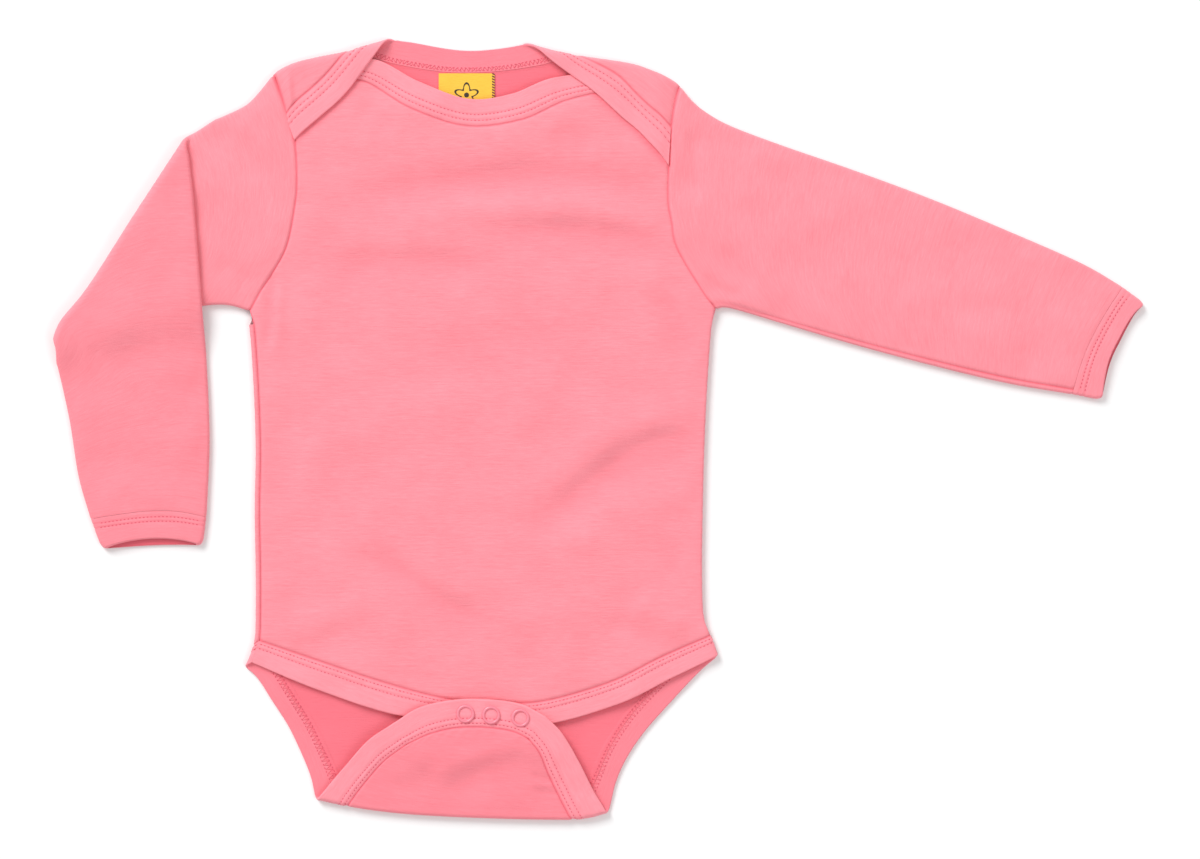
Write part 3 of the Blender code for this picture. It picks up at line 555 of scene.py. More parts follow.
def lay_neck_flat(keys):
    """The back neck crosses both shoulder folds, so each key goes by the nearer one."""
    right = [key for key in keys if key[0] < LABEL_CENTRE_X]
    left = [key for key in keys if key[0] >= LABEL_CENTRE_X]
    return [*RIGHT_SHOULDER.lay_flat(right), *LEFT_SHOULDER.lay_flat(left)]


def creases(x, y, table):
    """The height that the creases of a table give at each point."""
    height = np.zeros_like(x)
    for x0, y0, x1, y1, bow, left_width, right_width, rise in table:
        run = np.array((x1 - x0, y1 - y0))
        length = np.hypot(*run)
        share = ((x - x0) * run[0] + (y - y0) * run[1]) / length**2
        aside = ((y - y0) * run[0] - (x - x0) * run[1]) / length - bow * 4 * share * (1 - share)
        width = CREASE_SPREAD * np.where(aside > 0, left_width, right_width)
        fade = smooth(share / 0.3) * smooth((1 - share) / 0.3)
        height += rise * fade * np.exp(-((aside / width) ** 2))
    return height


RNG = np.random.default_rng(7)
WAVES = [
    (2 * math.pi / size, heading, phase, size)
    for size, heading, phase in zip(
        RNG.uniform(11, 48, WAVE_COUNT),
        RNG.uniform(0, math.pi, WAVE_COUNT),
        RNG.uniform(0, 2 * math.pi, WAVE_COUNT),
    )
]


def unevenness(x, y):
    """A gentle unevenness of cloth that has been handled and laid down."""
    height = np.zeros_like(x)
    for pitch, heading, phase, size in WAVES:
        across = x * math.cos(heading) + y * math.sin(heading)
        height += WAVE_HEIGHT * size * np.sin(pitch * across + phase)
    return height


def front_relief(x, y):
    """How far the front stands above the height at its edges."""
    across = np.maximum(1 - ((x - BODY_CENTRE_X) / BODY_HALF) ** 2, 0.0)
    rise = FRONT_RISE * across * smooth((y + 145) / 60) * smooth((206 - y) / 62)
    flat = np.column_stack([x, y])
    inward = np.minimum(-RIGHT_SIDE.straighten(flat)[1], -LEFT_SIDE.straighten(flat)[1])
    swell = 0.55 * (1 - np.exp(-np.maximum(inward, 0) / 7.0))
    calm = smooth(inward / 10)
    height = rise + swell + calm * (FRONT_DEPTH * creases(x, y, FRONT_CREASES) + unevenness(x, y))
    above = height - FRONT_LOWEST
    return FRONT_LOWEST + (above + np.sqrt(above**2 + 0.3)) / 2


def flap_relief(x, y):
    """The flap rises from its fold to lie over the snaps."""
    start = np.interp(x, *np.array(CROTCH_OUTLINE).T)
    calm = smooth((y - start - 2) / 12)
    lift = FLAP_LIFT * smooth((y - start) / FLAP_LIFT_REACH)
    sag = -0.5 * smooth((y - start - 6) / 10) * smooth((-165 - y) / 12)
    return lift + calm * (creases(x, y, FLAP_CREASES) + unevenness(x, y)) + sag


def lap_press(x, y):
    """How far the end of a lap is drawn down into its armhole seam."""
    press = np.zeros_like(x)
    for x0, y0, x1, y1 in LAP_ENDS:
        run = np.array((x1 - x0, y1 - y0))
        share = np.clip(((x - x0) * run[0] + (y - y0) * run[1]) / (run @ run), 0, 1)
        away = np.hypot(x - x0 - share * run[0], y - y0 - share * run[1])
        press += LAP_PRESS * np.exp(-((away / LAP_PRESS_WIDTH) ** 2))
    return press


def place_back(flat, height):
    """Lays points of the back's flat cut, which is one piece with its laps and its flap."""
    points = np.column_stack([flat, height])
    turned = {}
    for fold in (RIGHT_SHOULDER, LEFT_SHOULDER, CROTCH, RIGHT_SIDE, LEFT_SIDE):
        past = fold.straighten(flat)[1]
        moved, over = fold.turn(points)
        beyond = past > 0
        points = np.where(beyond[:, None], moved, points)
        turned[fold] = np.where(beyond, over, 0.0)
    x, y = points[:, 0], points[:, 1]
    inner = smooth(height / WALL)
    floor = 1 - np.clip(sum(turned.values()), 0, 1)
    under = 1.0
    for fold in (LEFT_SIDE, RIGHT_SIDE, CROTCH):
        under = under * smooth(-fold.straighten(flat)[1] / UNDER_FADE)
    resting = np.maximum(creases(x, y, UNDERSIDE_CREASES), 0)
    resting = resting + inner * 0.5 * (0.25 + unevenness(x, y))
    lap = (turned[RIGHT_SHOULDER] + turned[LEFT_SHOULDER]) * (
        front_relief(x, y) + creases(x, y, LAP_CREASES) + LAP_CLEARANCE - lap_press(x, y)
    )
    flap = turned[CROTCH] * flap_relief(x, y)
    points[:, 2] += floor * under * np.maximum(resting, 0) + lap + flap
    return points


def place_front(flat, height):
    """Lays points of the front's flat cut, face up; its left side turns down round the edge."""
    points = np.column_stack([flat, height])
    past = LEFT_SIDE.straighten(flat)[1]
    points = np.where((past > 0)[:, None], LEFT_SIDE.turn(points)[0], points)
    x, y = points[:, 0], points[:, 1]
    top = 1 - smooth(past / (SIDE_BEND / 2))
    points[:, 2] = 2 * SIDE_RADIUS - points[:, 2] + top * front_relief(x, y)
    return points


def sleeve_swell(edge_distance):
    """How far a sleeve stands up, from the distance to its nearest edge."""
    return 1 - np.exp(-edge_distance / SLEEVE_CALM)


def place_left_sleeve(flat, height, edge_distance):
    x, y = flat.T
    top = smooth(height / (2 * SIDE_RADIUS))
    calm = smooth(edge_distance / SLEEVE_CALM)
    relief = sleeve_swell(edge_distance)
    relief += calm * (creases(x, y, LEFT_SLEEVE_CREASES) + unevenness(x, y))
    return np.column_stack([flat, height + top * relief])


def place_right_sleeve(flat, height, edge_distance):
    """The flattened sleeve is turned over its slanting fold, and its end comes down to rest."""
    points, over = SLEEVE_FOLD.turn(np.column_stack([flat, height]))
    x, y = points[:, 0], points[:, 1]
    calm = smooth(edge_distance / SLEEVE_CALM)
    swell = sleeve_swell(edge_distance)
    lower_edge = 66.0 + 0.21 * (x + 206.0)
    off = smooth((lower_edge - y) / 30)
    top = smooth(height / (2 * SIDE_RADIUS))
    below = swell + calm * (creases(x, y, RIGHT_SLEEVE_CREASES) + unevenness(x, y))
    above = swell + calm * (creases(x, y, TURNED_SLEEVE_CREASES) + unevenness(x, y))
    drop = 2 * (SLEEVE_FOLD_RADIUS - SIDE_RADIUS) + 1.0
    lifted = 1.0 + (1 - top) * above - drop * off
    points[:, 2] += (1 - over) * top * below + over * lifted
    return points


def groove(distance):
    """How far cloth is drawn down into a seam at this distance from it."""
    return GROOVE_DEPTH * np.exp(-((distance / GROOVE_WIDTH) ** 2))


def pucker(distance, run):
    """The small waves that the stitching draws along a seam."""
    wave = np.sin(2 * math.pi * run / PUCKER_LENGTH + 1.7 * np.sin(run / 17))
    return PUCKER * wave * np.exp(-distance / 4.5) * smooth(distance / 1.5)


def object_of(name, points, faces, cut, painted_shade, material):
    """A mesh object from points in millimetres.

    cut, where each point is on the flat piece, is its UV map, and tuck is the shade painted into
    each point's colour, 0 to 1: deeper in a seam and inside the garment.
    """
    mesh = bpy.data.meshes.new(name)
    mesh.from_pydata(points * MM, [], faces)
    layer = mesh.uv_layers.new(name="Cut")
    corners = np.empty(len(mesh.loops), np.int32)
    mesh.loops.foreach_get("vertex_index", corners)
    layer.data.foreach_set("uv", (cut[corners] * MM).astype(np.float32).ravel())
    if painted_shade is not None:
        depth = mesh.attributes.new("PaintedShade", "FLOAT", "POINT")
        depth.data.foreach_set("value", np.clip(painted_shade, 0, 1).astype(np.float32).ravel())
    mesh.materials.append(material)
    mesh.shade_smooth()
    mesh.set_sharp_from_angle(angle=math.radians(50))
    thing = bpy.data.objects.new(name, mesh)
    bpy.context.scene.collection.objects.link(thing)
    return thing


def grid_faces(index, closed=False):
    """The quads of a grid of vertex numbers; a closed grid joins its last column to its first."""
    if closed:
        index = np.hstack([index, index[:, :1]])
    a, b, c, d = index[:-1, :-1], index[:-1, 1:], index[1:, 1:], index[1:, :-1]
    return np.stack([a, b, c, d], axis=-1).reshape(-1, 4)


def facing_out(points, *groups):
    """Groups of faces that close a mesh, all turned round if they enclose a negative volume."""
    points = points - points.mean(axis=0)
    volume = 0.0
    for faces in groups:
        for k in range(1, faces.shape[1] - 1):
            a, b, c = (points[faces[:, corner]] for corner in (0, k, k + 1))
            volume += (np.cross(b, c) * a).sum()
    turn = -1 if volume < 0 else 1
    return [face for faces in groups for face in faces[:, ::turn].tolist()]


def wall_of_sheet(name, flat, heights, place, material, painted_shades=(0.0, 0.0), cut=None):
    """A closed wall on a grid of flat points: heights holds its outer and its inner side."""
    rows, columns = flat.shape[:2]
    spread = flat.reshape(-1, 2)
    points = np.vstack([place(spread, height.ravel()) for height in heights])
    outer = np.arange(rows * columns).reshape(rows, columns)
    inner = outer + rows * columns
    around = [
        np.vstack([outer[0], inner[0]]),
        np.vstack([inner[-1], outer[-1]]),
        np.vstack([inner[:, 0], outer[:, 0]]),
        np.vstack([outer[:, -1], inner[:, -1]]),
    ]
    faces = [grid_faces(outer[:, ::-1]), grid_faces(inner), *(grid_faces(rim) for rim in around)]
    faces = facing_out(points, np.vstack(faces))
    cut = spread if cut is None else cut.reshape(-1, 2)
    painted_shade = np.concatenate([np.broadcast_to(side, flat.shape[:2]).ravel() for side in painted_shades])
    return object_of(name, points, faces, np.vstack([cut, cut]), painted_shade, material)


def seam_relief(distances, runs, sides):
    """How far the cloth is drawn in at the seams on these sides of a grid."""
    depth = np.zeros_like(distances[0])
    for side in sides:
        depth += groove(distances[side]) + pucker(distances[side], runs[side])
    return depth


def panel_heights(flat, sides, allowance=()):
    """Outer and inner heights of a one-layer panel whose sides named by number are seams.

    A bound seam has its trimmed allowance lying inside, which stands up a little.
    """
    distances = grid_distances(flat)
    up, _, across, _ = distances
    runs = (across, across, up, up)
    depth = seam_relief(distances, runs, sides)
    inner = WALL + 0.35 * depth
    for side, mask in allowance:
        inner += mask * ALLOWANCE_STEP * (1 - smooth((distances[side] - ALLOWANCE + 0.25) / 0.5))
    return depth, inner


# Shade painted into the cloth in a seam's groove, from how deep the groove is there.
def seam_painted_shade(depth):
    return SEAM_PAINTED_SHADE * smooth((depth / GROOVE_DEPTH - 0.35) / 0.65)


# The cut lines of the flat pieces.
RIGHT_SEAM_PAST = SIDE_BEND + SEAM_ROLL
LEFT_SEAM_PAST = SIDE_BEND / 2
CUT = {
    "right_side": RIGHT_SIDE.side(RIGHT_SEAM_PAST - SEAM_GAP, RIGHT_HEM_Y, RIGHT_SIDE_TOP_Y),
    "left_side": LEFT_SIDE.side(LEFT_SEAM_PAST - SEAM_GAP, LEFT_HEM_Y, LEFT_SIDE_TOP_Y),
    "front_right_side": RIGHT_SIDE.side(-SEAM_ROLL - SEAM_GAP, RIGHT_HEM_Y, RIGHT_SIDE_TOP_Y),
    "right_armhole": curve(RIGHT_ARMHOLE),
    "left_armhole": curve(LEFT_ARMHOLE),
}
CUT["right_leg"] = curve([*CROTCH.lay_flat(RIGHT_LEG_SEAM), CUT["right_side"][0]])
CUT["left_leg"] = curve([*CROTCH.lay_flat(LEFT_LEG_SEAM), CUT["left_side"][0]])
CUT["flap"] = curve(CROTCH.lay_flat(FLAP_SEAM))
CUT["back_neck"] = curve(lay_neck_flat(BACK_NECK_SEAM))
for side, keys, shoulder, corner in (
    ("right", RIGHT_ARMHOLE, RIGHT_SHOULDER, 0),
    ("left", LEFT_ARMHOLE, LEFT_SHOULDER, -1),
):
    middle = shoulder.lay_flat([(*keys[-2], 1)])
    ends = (CUT[side + "_armhole"][-1], CUT["back_neck"][corner])
    CUT[side + "_lap_end"] = curve([ends[0], *middle, ends[1]])
FRONT_ARMHOLES = [
    at_shares(CUT[name], np.linspace(0, FRONT_ARMHOLE_SHARE, 150))
    for name in ("right_armhole", "left_armhole")
]
CUT["front_neck"] = curve([FRONT_ARMHOLES[0][-1], *FRONT_NECK_SEAM, FRONT_ARMHOLES[1][-1]])
CUT["front_hem"] = curve([CUT["front_right_side"][0], *FRONT_HEM_SEAM, CUT["left_side"][0]])


def bend_stretches(lines, fractions, flat, folds):
    """The stretches of a grid's rows, in millimetres, that are in one of the folds."""
    stretches = []
    for fold in folds:
        past = fold.straighten(flat)[1]
        rows = np.nonzero(((past > -1) & (past < fold.bend + 1)).any(axis=1))[0]
        if len(rows):
            stretches.append((fractions[rows[0]] * lines, fractions[rows[-1]] * lines))
    return stretches


def add_back():
    """The back, one piece with its laps and its flap. The wearer's right is on the left."""
    stretches_up = ("leg", "side", "armhole", "lap_end")
    left_lines = [CUT["right_" + name] for name in stretches_up]
    right_lines = [CUT["left_" + name] for name in stretches_up]
    sections = (sizes(left_lines) + sizes(right_lines)) / 2
    edge_lines = (*SEAM_LINES, 3.5, 4.0, 4.6, 5.4)

    def grid(v, breaks, u):
        return patch(
            at_shares(CUT["flap"], u),
            at_shares(CUT["back_neck"], u),
            along_sections(left_lines, breaks, v),
            along_sections(right_lines, breaks, v),
            u,
            v,
        )

    u = marks_along([230.0], BACK_STEP, ends=(*edge_lines, 6.2, 7.0, 8.0))[0]
    breaks = np.concatenate([[0], np.cumsum(sections)]) / sections.sum()
    coarse = np.linspace(0, 1, 801)
    sparse = grid(coarse, breaks, u[::6])
    folds = (CROTCH, RIGHT_SHOULDER, LEFT_SHOULDER)
    stretches = bend_stretches(sections.sum(), coarse, sparse, folds)
    low, high = min(a for a, b in stretches[1:]), max(b for a, b in stretches[1:])
    v, breaks = marks_along(sections, BACK_STEP, ends=edge_lines, fine=(stretches[0], (low, high)))
    flat = grid(v, breaks, u)
    leg = (v < breaks[1])[:, None]
    bound = np.ones(flat.shape[:2])
    heights = panel_heights(flat, (0, 1, 2, 3), ((0, bound), (2, leg), (3, leg)))
    # painted shade: the flap's outside a little darker, the seams darker, and the inside in deep
    # shade
    on_flap = smooth(CROTCH.straighten(flat)[1] / CROTCH.bend)
    painted_shades = (FLAP_PAINTED_SHADE * on_flap + seam_painted_shade(heights[0]), INSIDE_PAINTED_SHADE)
    return wall_of_sheet("back_panel", flat, heights, place_back, MATERIALS["jersey"], painted_shades)


def lap_painted_shadow(x, y):
    """Painted shadow on the front along the free edge of a lap that covers it, 0 to 1, by how near
    it is.
    """
    away = np.full(x.shape, np.inf)
    for keys in (BACK_NECK_EDGE[:3], BACK_NECK_EDGE[-4:]):
        for point in curve(keys)[::2]:
            away = np.minimum(away, np.hypot(x - point[0], y - point[1]))
    return np.exp(-((away / LAP_PAINTED_SHADOW_WIDTH) ** 2))


def add_front():
    left_lines = [CUT["front_right_side"], FRONT_ARMHOLES[0]]
    right_lines = [CUT["left_side"], FRONT_ARMHOLES[1]]
    sections = (sizes(left_lines) + sizes(right_lines)) / 2
    v, breaks = marks_along(sections, PANEL_STEP)
    u = marks_along([236.0], PANEL_STEP, far_ends=(*SEAM_LINES, 3.6, 4.6))[0]
    flat = patch(
        at_shares(CUT["front_hem"], u),
        at_shares(CUT["front_neck"], u),
        along_sections(left_lines, breaks, v),
        along_sections(right_lines, breaks, v),
        u,
        v,
    )
    heights = panel_heights(flat, (0, 1, 2, 3))
    # painted shade: a shadow along the laps' free edges, and shade in the seams and in the creases'
    # troughs
    painted_lap_shadow = LAP_PAINTED_SHADOW * lap_painted_shadow(flat[..., 0], flat[..., 1])
    hollow = np.clip(-FRONT_DEPTH * creases(flat[..., 0], flat[..., 1], FRONT_CREASES), 0, 2)
    painted_shades = (seam_painted_shade(heights[0]) + painted_lap_shadow + HOLLOW_PAINTED_SHADE * hollow, INSIDE_PAINTED_SHADE)
    return wall_of_sheet("front_panel", flat, heights, place_front, MATERIALS["jersey"], painted_shades)


def binding_profile(across, width, run, rows):
    """Outer and inner heights across a doubled binding, from its seam to its folded edge."""
    half = BINDING / 2
    to_edge = np.clip(half - (width - across), 0, half)
    rounding = half - np.sqrt(half**2 - to_edge**2)
    outer = groove(across) - 0.12 + pucker(across, run) + ROW_DEPTH * row_share(across, rows)
    middle = sum(rows) / 2
    outer -= 0.10 * np.exp(-(((across - middle) / 0.9) ** 2))
    return outer + rounding, BINDING - rounding


def row_share(across, rows):
    """How near a point is to a row of stitches, 0 to 1."""
    return sum(np.exp(-(((across - row) / ROW_WIDTH) ** 2)) for row in rows)


def band_rows(width, rows):
    """Fractions of a binding's width at which its grid has lines."""
    stitched = [row + aside for row in rows for aside in (-0.8, -0.4, 0.0, 0.4, 0.8)]
    plain = [0.0, 0.35, 0.7, *np.arange(rows[0] + 1.3, width - 1.6, 1.0)]
    plain = [mark for mark in plain if min(abs(mark - stitch) for stitch in stitched) > 0.3]
    return np.unique(np.round([*plain, *stitched, *(width - d for d in EDGE_LINES)], 3)) / width


def band(seam_lines, edge_lines, width, rows):
    """A binding's flat grid, a row for each line across it, and how far each point is along it."""
    mean = (sizes(seam_lines) + sizes(edge_lines)) / 2
    u, breaks = marks_along(mean, BAND_STEP, ends=(0.0, 0.6, 1.2))
    seam = along_sections(seam_lines, breaks, u)
    edge = along_sections(edge_lines, breaks, u)
    aside = edge - seam
    seam = seam + aside * SEAM_GAP / np.linalg.norm(aside, axis=1)[:, None]
    shares = band_rows(width, rows)[:, None, None]
    return (1 - shares) * seam + shares * edge, u * mean.sum()


def add_band(name, seam_lines, edge_lines, place, width, rows, extra=None):
    """A binding, and the flat lines across it that its stitches follow."""
    flat, run = band(seam_lines, edge_lines, width, rows)
    across = np.broadcast_to(band_rows(width, rows)[:, None] * width, flat.shape[:2])
    run = np.broadcast_to(run, flat.shape[:2])
    outer, inner = binding_profile(across, width, run, rows)
    if extra is not None:
        outer = outer + extra(flat)
    # painted shade in the seam's groove and along the rows of stitches, and a lighter painted shade
    # inside
    painted_shades = (seam_painted_shade(groove(across)) + ROW_PAINTED_SHADE * row_share(across, rows), 0.6 * INSIDE_PAINTED_SHADE)
    cut = np.stack([run, across], axis=-1)
    material = MATERIALS["binding_jersey"]
    piece = wall_of_sheet(name, flat, (outer, inner), place, material, painted_shades, cut)

    def line_at(distance):
        seam, edge = flat[0], flat[-1]
        return seam + (edge - seam) * distance / width

    return piece, line_at


def threads(name, runs, place, outward=-1, sway=0.0, pitch=STITCH_PITCH, length=STITCH_LENGTH):
    """Rows of stitches: each is a short rounded thread that dips into the cloth at both ends.

    A run is a flat line and the height of the cloth's surface there. With sway, the stitches
    slant to and fro across the line.
    """
    shares = np.array([0.0, 0.28, 0.72, 1.0])
    fullness = np.array([0.45, 1.0, 1.0, 0.45])
    turns = np.linspace(0, 2 * math.pi, 5, endpoint=False)
    flat, heights = [], []
    for line, surface in runs:
        total = lengths(line)[-1]
        starts = np.arange(pitch / 2, total - length, pitch)
        stations = starts[:, None] + shares * length
        centres = along(line, stations.ravel())
        ahead = along(line, np.minimum(stations.ravel() + AHEAD, total))
        ahead -= along(line, stations.ravel() - AHEAD)
        ahead /= np.linalg.norm(ahead, axis=1)[:, None]
        aside = np.column_stack([-ahead[:, 1], ahead[:, 0]])
        swing = (-1.0) ** np.arange(len(starts))[:, None] * sway * (2 * shares - 1)
        wide = STITCH_WIDTH / 2 * np.tile(fullness, len(starts))[:, None] * np.cos(turns)
        offset = swing.ravel()[:, None] + wide
        flat.append(centres[:, None] + offset[..., None] * aside[:, None])
        dip = THREAD_DIP * (2 * shares - 1) ** 2 - 0.07
        tall = THREAD_SWELL * np.tile(fullness, len(starts))[:, None] * np.sin(turns)
        heights.append(surface + outward * (tall - np.tile(dip, len(starts))[:, None]))
    flat = np.vstack(flat).reshape(-1, 2)
    points = place(flat, np.vstack(heights).ravel())
    rings = np.arange(len(points)).reshape(-1, len(shares), len(turns))
    around = np.concatenate([rings, rings[:, :, :1]], axis=2)
    quads = np.stack(
        [around[:, :-1, :-1], around[:, :-1, 1:], around[:, 1:, 1:], around[:, 1:, :-1]], axis=-1
    ).reshape(-1, 4)
    faces = facing_out(points, quads, rings[:, 0, ::-1], rings[:, -1])
    return object_of(name, points, faces, flat, None, MATERIALS["thread"])


def snap_dimple(flat):
    """The cloth is pressed in round each snap and stands up a little inside its ring."""
    height = np.zeros(flat.shape[:2])
    for x, y in SNAP_PLACES:
        centre = CROTCH.lay_flat([(x, y, 1)])[0]
        radius = np.linalg.norm(flat - centre, axis=-1)
        pressed = 0.30 * np.exp(-(((radius - 4.6) / 1.3) ** 2))
        height += pressed - 0.15 * np.exp(-((radius / 2.2) ** 2))
    return height


def add_bindings():
    """The four bindings with their coverstitch, outside and inside."""
    front_neck, front_neck_line = add_band(
        "neck_binding_front_piece",
        [CUT["front_neck"]],
        [curve(FRONT_NECK_EDGE)],
        place_front,
        NECK_FRONT_WIDTH,
        NECK_ROWS,
    )
    right_end = RIGHT_SIDE.flatten(-RIGHT_BINDING_END_Y, -SEAM_ROLL - SEAM_GAP)
    left_end = LEFT_SIDE.flatten(LEFT_BINDING_END_Y, LEFT_SEAM_PAST - SEAM_GAP)
    hem, hem_line = add_band(
        "hem_binding_front_piece",
        [CUT["front_hem"]],
        [curve([right_end, *FRONT_HEM_EDGE[1:], left_end])],
        place_front,
        HEM_WIDTH,
        HEM_ROWS,
    )
    back_neck, back_neck_line = add_band(
        "neck_binding_back_piece",
        [CUT["back_neck"]],
        [curve(lay_neck_flat(BACK_NECK_EDGE))],
        place_back,
        NECK_BACK_WIDTH,
        NECK_ROWS,
    )
    right_end = RIGHT_SIDE.flatten(-RIGHT_BINDING_END_Y, RIGHT_SEAM_PAST - SEAM_GAP)
    right_edge = curve([*CROTCH.lay_flat(RIGHT_LEG_EDGE), right_end])
    left_edge = curve([*CROTCH.lay_flat(LEFT_LEG_EDGE), left_end])
    leg, leg_line = add_band(
        "leg_binding_back_piece",
        [CUT["right_leg"][::-1], CUT["flap"], CUT["left_leg"]],
        [right_edge[::-1], curve(CROTCH.lay_flat(FLAP_EDGE)), left_edge],
        place_back,
        LEG_WIDTH,
        LEG_ROWS,
        snap_dimple,
    )
    pieces = {
        "neck_binding_front": front_neck,
        "hem_binding_front": hem,
        "neck_binding_back": back_neck,
        "leg_binding_back": leg,
    }
    stitched = {node: [] for node in pieces}
    for name, node, line_at, place, rows in (
        ("neck_front", "neck_binding_front", front_neck_line, place_front, NECK_ROWS),
        ("hem", "hem_binding_front", hem_line, place_front, HEM_ROWS),
        ("neck_back", "neck_binding_back", back_neck_line, place_back, NECK_ROWS),
        ("leg", "leg_binding_back", leg_line, place_back, LEG_ROWS),
    ):
        runs = [(line_at(row), ROW_DEPTH - 0.12) for row in rows]
        stitched[node].append(threads(name + "_stitches", runs, place))
    for name, node, line_at, (middle, sway) in (
        ("neck", "neck_binding_back", back_neck_line, NECK_LOOPER),
        ("leg", "leg_binding_back", leg_line, LEG_LOOPER),
    ):
        runs = [(line_at(middle), BINDING)]
        loops = (sway, LOOPER_PITCH, LOOPER_PITCH + 0.15)
        stitched[node].append(threads(name + "_looper_threads", runs, place_back, 1, *loops))
        runs = [(line_at(middle + side), BINDING) for side in (-sway, sway)]
        stitched[node].append(threads(name + "_needle_threads", runs, place_back, 1))
    return pieces, stitched


def tube_grid(rows, inset, middle_shares):
    """Flat points and heights of a flattened tube, a closed ring for each row.

    inset is how far in from the outside the wall is, and may change from row to row and across.
    """
    flat, heights, edges, across = [], [], [], []
    angles = np.linspace(-math.pi / 2, math.pi / 2, EDGE_STEPS + 1)
    for row, row_inset in zip(rows, inset):
        far = lengths(row)[-1]
        bend = SIDE_RADIUS - row_inset
        middle = SIDE_RADIUS + middle_shares * (far - 2 * SIDE_RADIUS)
        edge = row_inset + bend * (1 - np.cos(angles))
        edge_heights = SIDE_RADIUS + bend * np.sin(angles)
        level = np.ones_like(middle)
        reach = np.concatenate([edge, middle, far - edge, middle[::-1]])
        flat.append(along(row, reach))
        heights.append(
            np.concatenate(
                [
                    edge_heights,
                    level * (2 * SIDE_RADIUS - row_inset),
                    edge_heights[::-1],
                    level * row_inset,
                ]
            )
        )
        edges.append(np.minimum(reach, far - reach))
        across.append(reach)
    return np.array(flat), np.array(heights), np.array(edges), np.array(across)


def head_share(start, across):
    """How much a sleeve is thickened, from its distance from the armhole and from its top edge."""
    near = HEAD_SHARE * np.exp(-((start[:, None] / HEAD_LENGTH) ** 2))
    return 1 + near * smooth(1 - across / HEAD_WIDTH)


def add_tube(
    name, rows, depth, painted_shade, place, material, underarm_groove=0.0, head=None, pull=None, upper=1
):
    """A closed wall round a flattened tube that is open at both ends.

    pull moves the upper layer of each row, and upper is -1 where the sleeve is turned over, so
    that its flat lower layer ends on top.
    """
    middle_shares = np.linspace(0, 1, 68)[1:-1]
    outer_flat, outer_heights, outer_edges, across = tube_grid(rows, depth, middle_shares)
    if underarm_groove:
        far = across.max(axis=1, keepdims=True)
        on_top = smooth(outer_heights / (2 * SIDE_RADIUS) * 2 - 1)
        line = np.exp(-(((far - across - underarm_groove) / 0.7) ** 2))
        outer_heights = outer_heights - 0.8 * on_top * line
        # painted shade along the underarm seam
        painted_shade = painted_shade[:, None] + SEAM_PAINTED_SHADE * on_top * line
    else:
        painted_shade = np.broadcast_to(painted_shade[:, None], outer_heights.shape)
    if upper < 0:
        # painted shade on the layer that shows once the sleeve is turned over
        painted_shade = painted_shade + TURNED_PAINTED_SHADE * smooth(1 - outer_heights / (2 * SIDE_RADIUS))
    inner_flat, inner_heights, inner_edges, inner_across = tube_grid(
        rows, depth * 0.35 + WALL, middle_shares
    )
    if head is not None:
        outer_heights = outer_heights * head_share(head, across)
        inner_heights = inner_heights * head_share(head, inner_across)
    if pull is not None:
        for flat, heights, reach in (
            (outer_flat, outer_heights, across),
            (inner_flat, inner_heights, inner_across),
        ):
            share = heights / (2 * SIDE_RADIUS)
            layer = smooth(share * 2 - 0.5) if upper > 0 else smooth(1.5 - share * 2)
            half_turn = np.pi * reach / reach.max(axis=1, keepdims=True)
            middle = np.maximum(np.sin(half_turn), 0.0) ** 0.6
            flat += (layer * middle)[..., None] * pull[:, None]
    spread = [layer.reshape(-1, 2) for layer in (outer_flat, inner_flat)]
    points = np.vstack(
        [
            place(spread[0], outer_heights.ravel(), outer_edges.ravel()),
            place(spread[1], inner_heights.ravel(), inner_edges.ravel()),
        ]
    )
    count = outer_flat.shape[0] * outer_flat.shape[1]
    outer = np.arange(count).reshape(outer_flat.shape[:2])
    inner = outer + count
    faces = [
        grid_faces(outer, closed=True),
        grid_faces(inner[:, ::-1], closed=True),
        grid_faces(np.vstack([inner[0], outer[0]]), closed=True),
        grid_faces(np.vstack([outer[-1], inner[-1]]), closed=True),
    ]
    faces = facing_out(points, np.vstack(faces))
    up = np.broadcast_to(grid_distances(rows)[0].mean(axis=1)[:, None], across.shape)
    cut = np.stack([across, up], axis=-1).reshape(-1, 2)
    # painted shade inside the tube, deeper than elsewhere inside
    painted_shades = np.concatenate([painted_shade.ravel(), np.full(count, INSIDE_PAINTED_SHADE + 0.2)])
    return object_of(name, points, faces, np.vstack([cut, cut]), painted_shades, material)


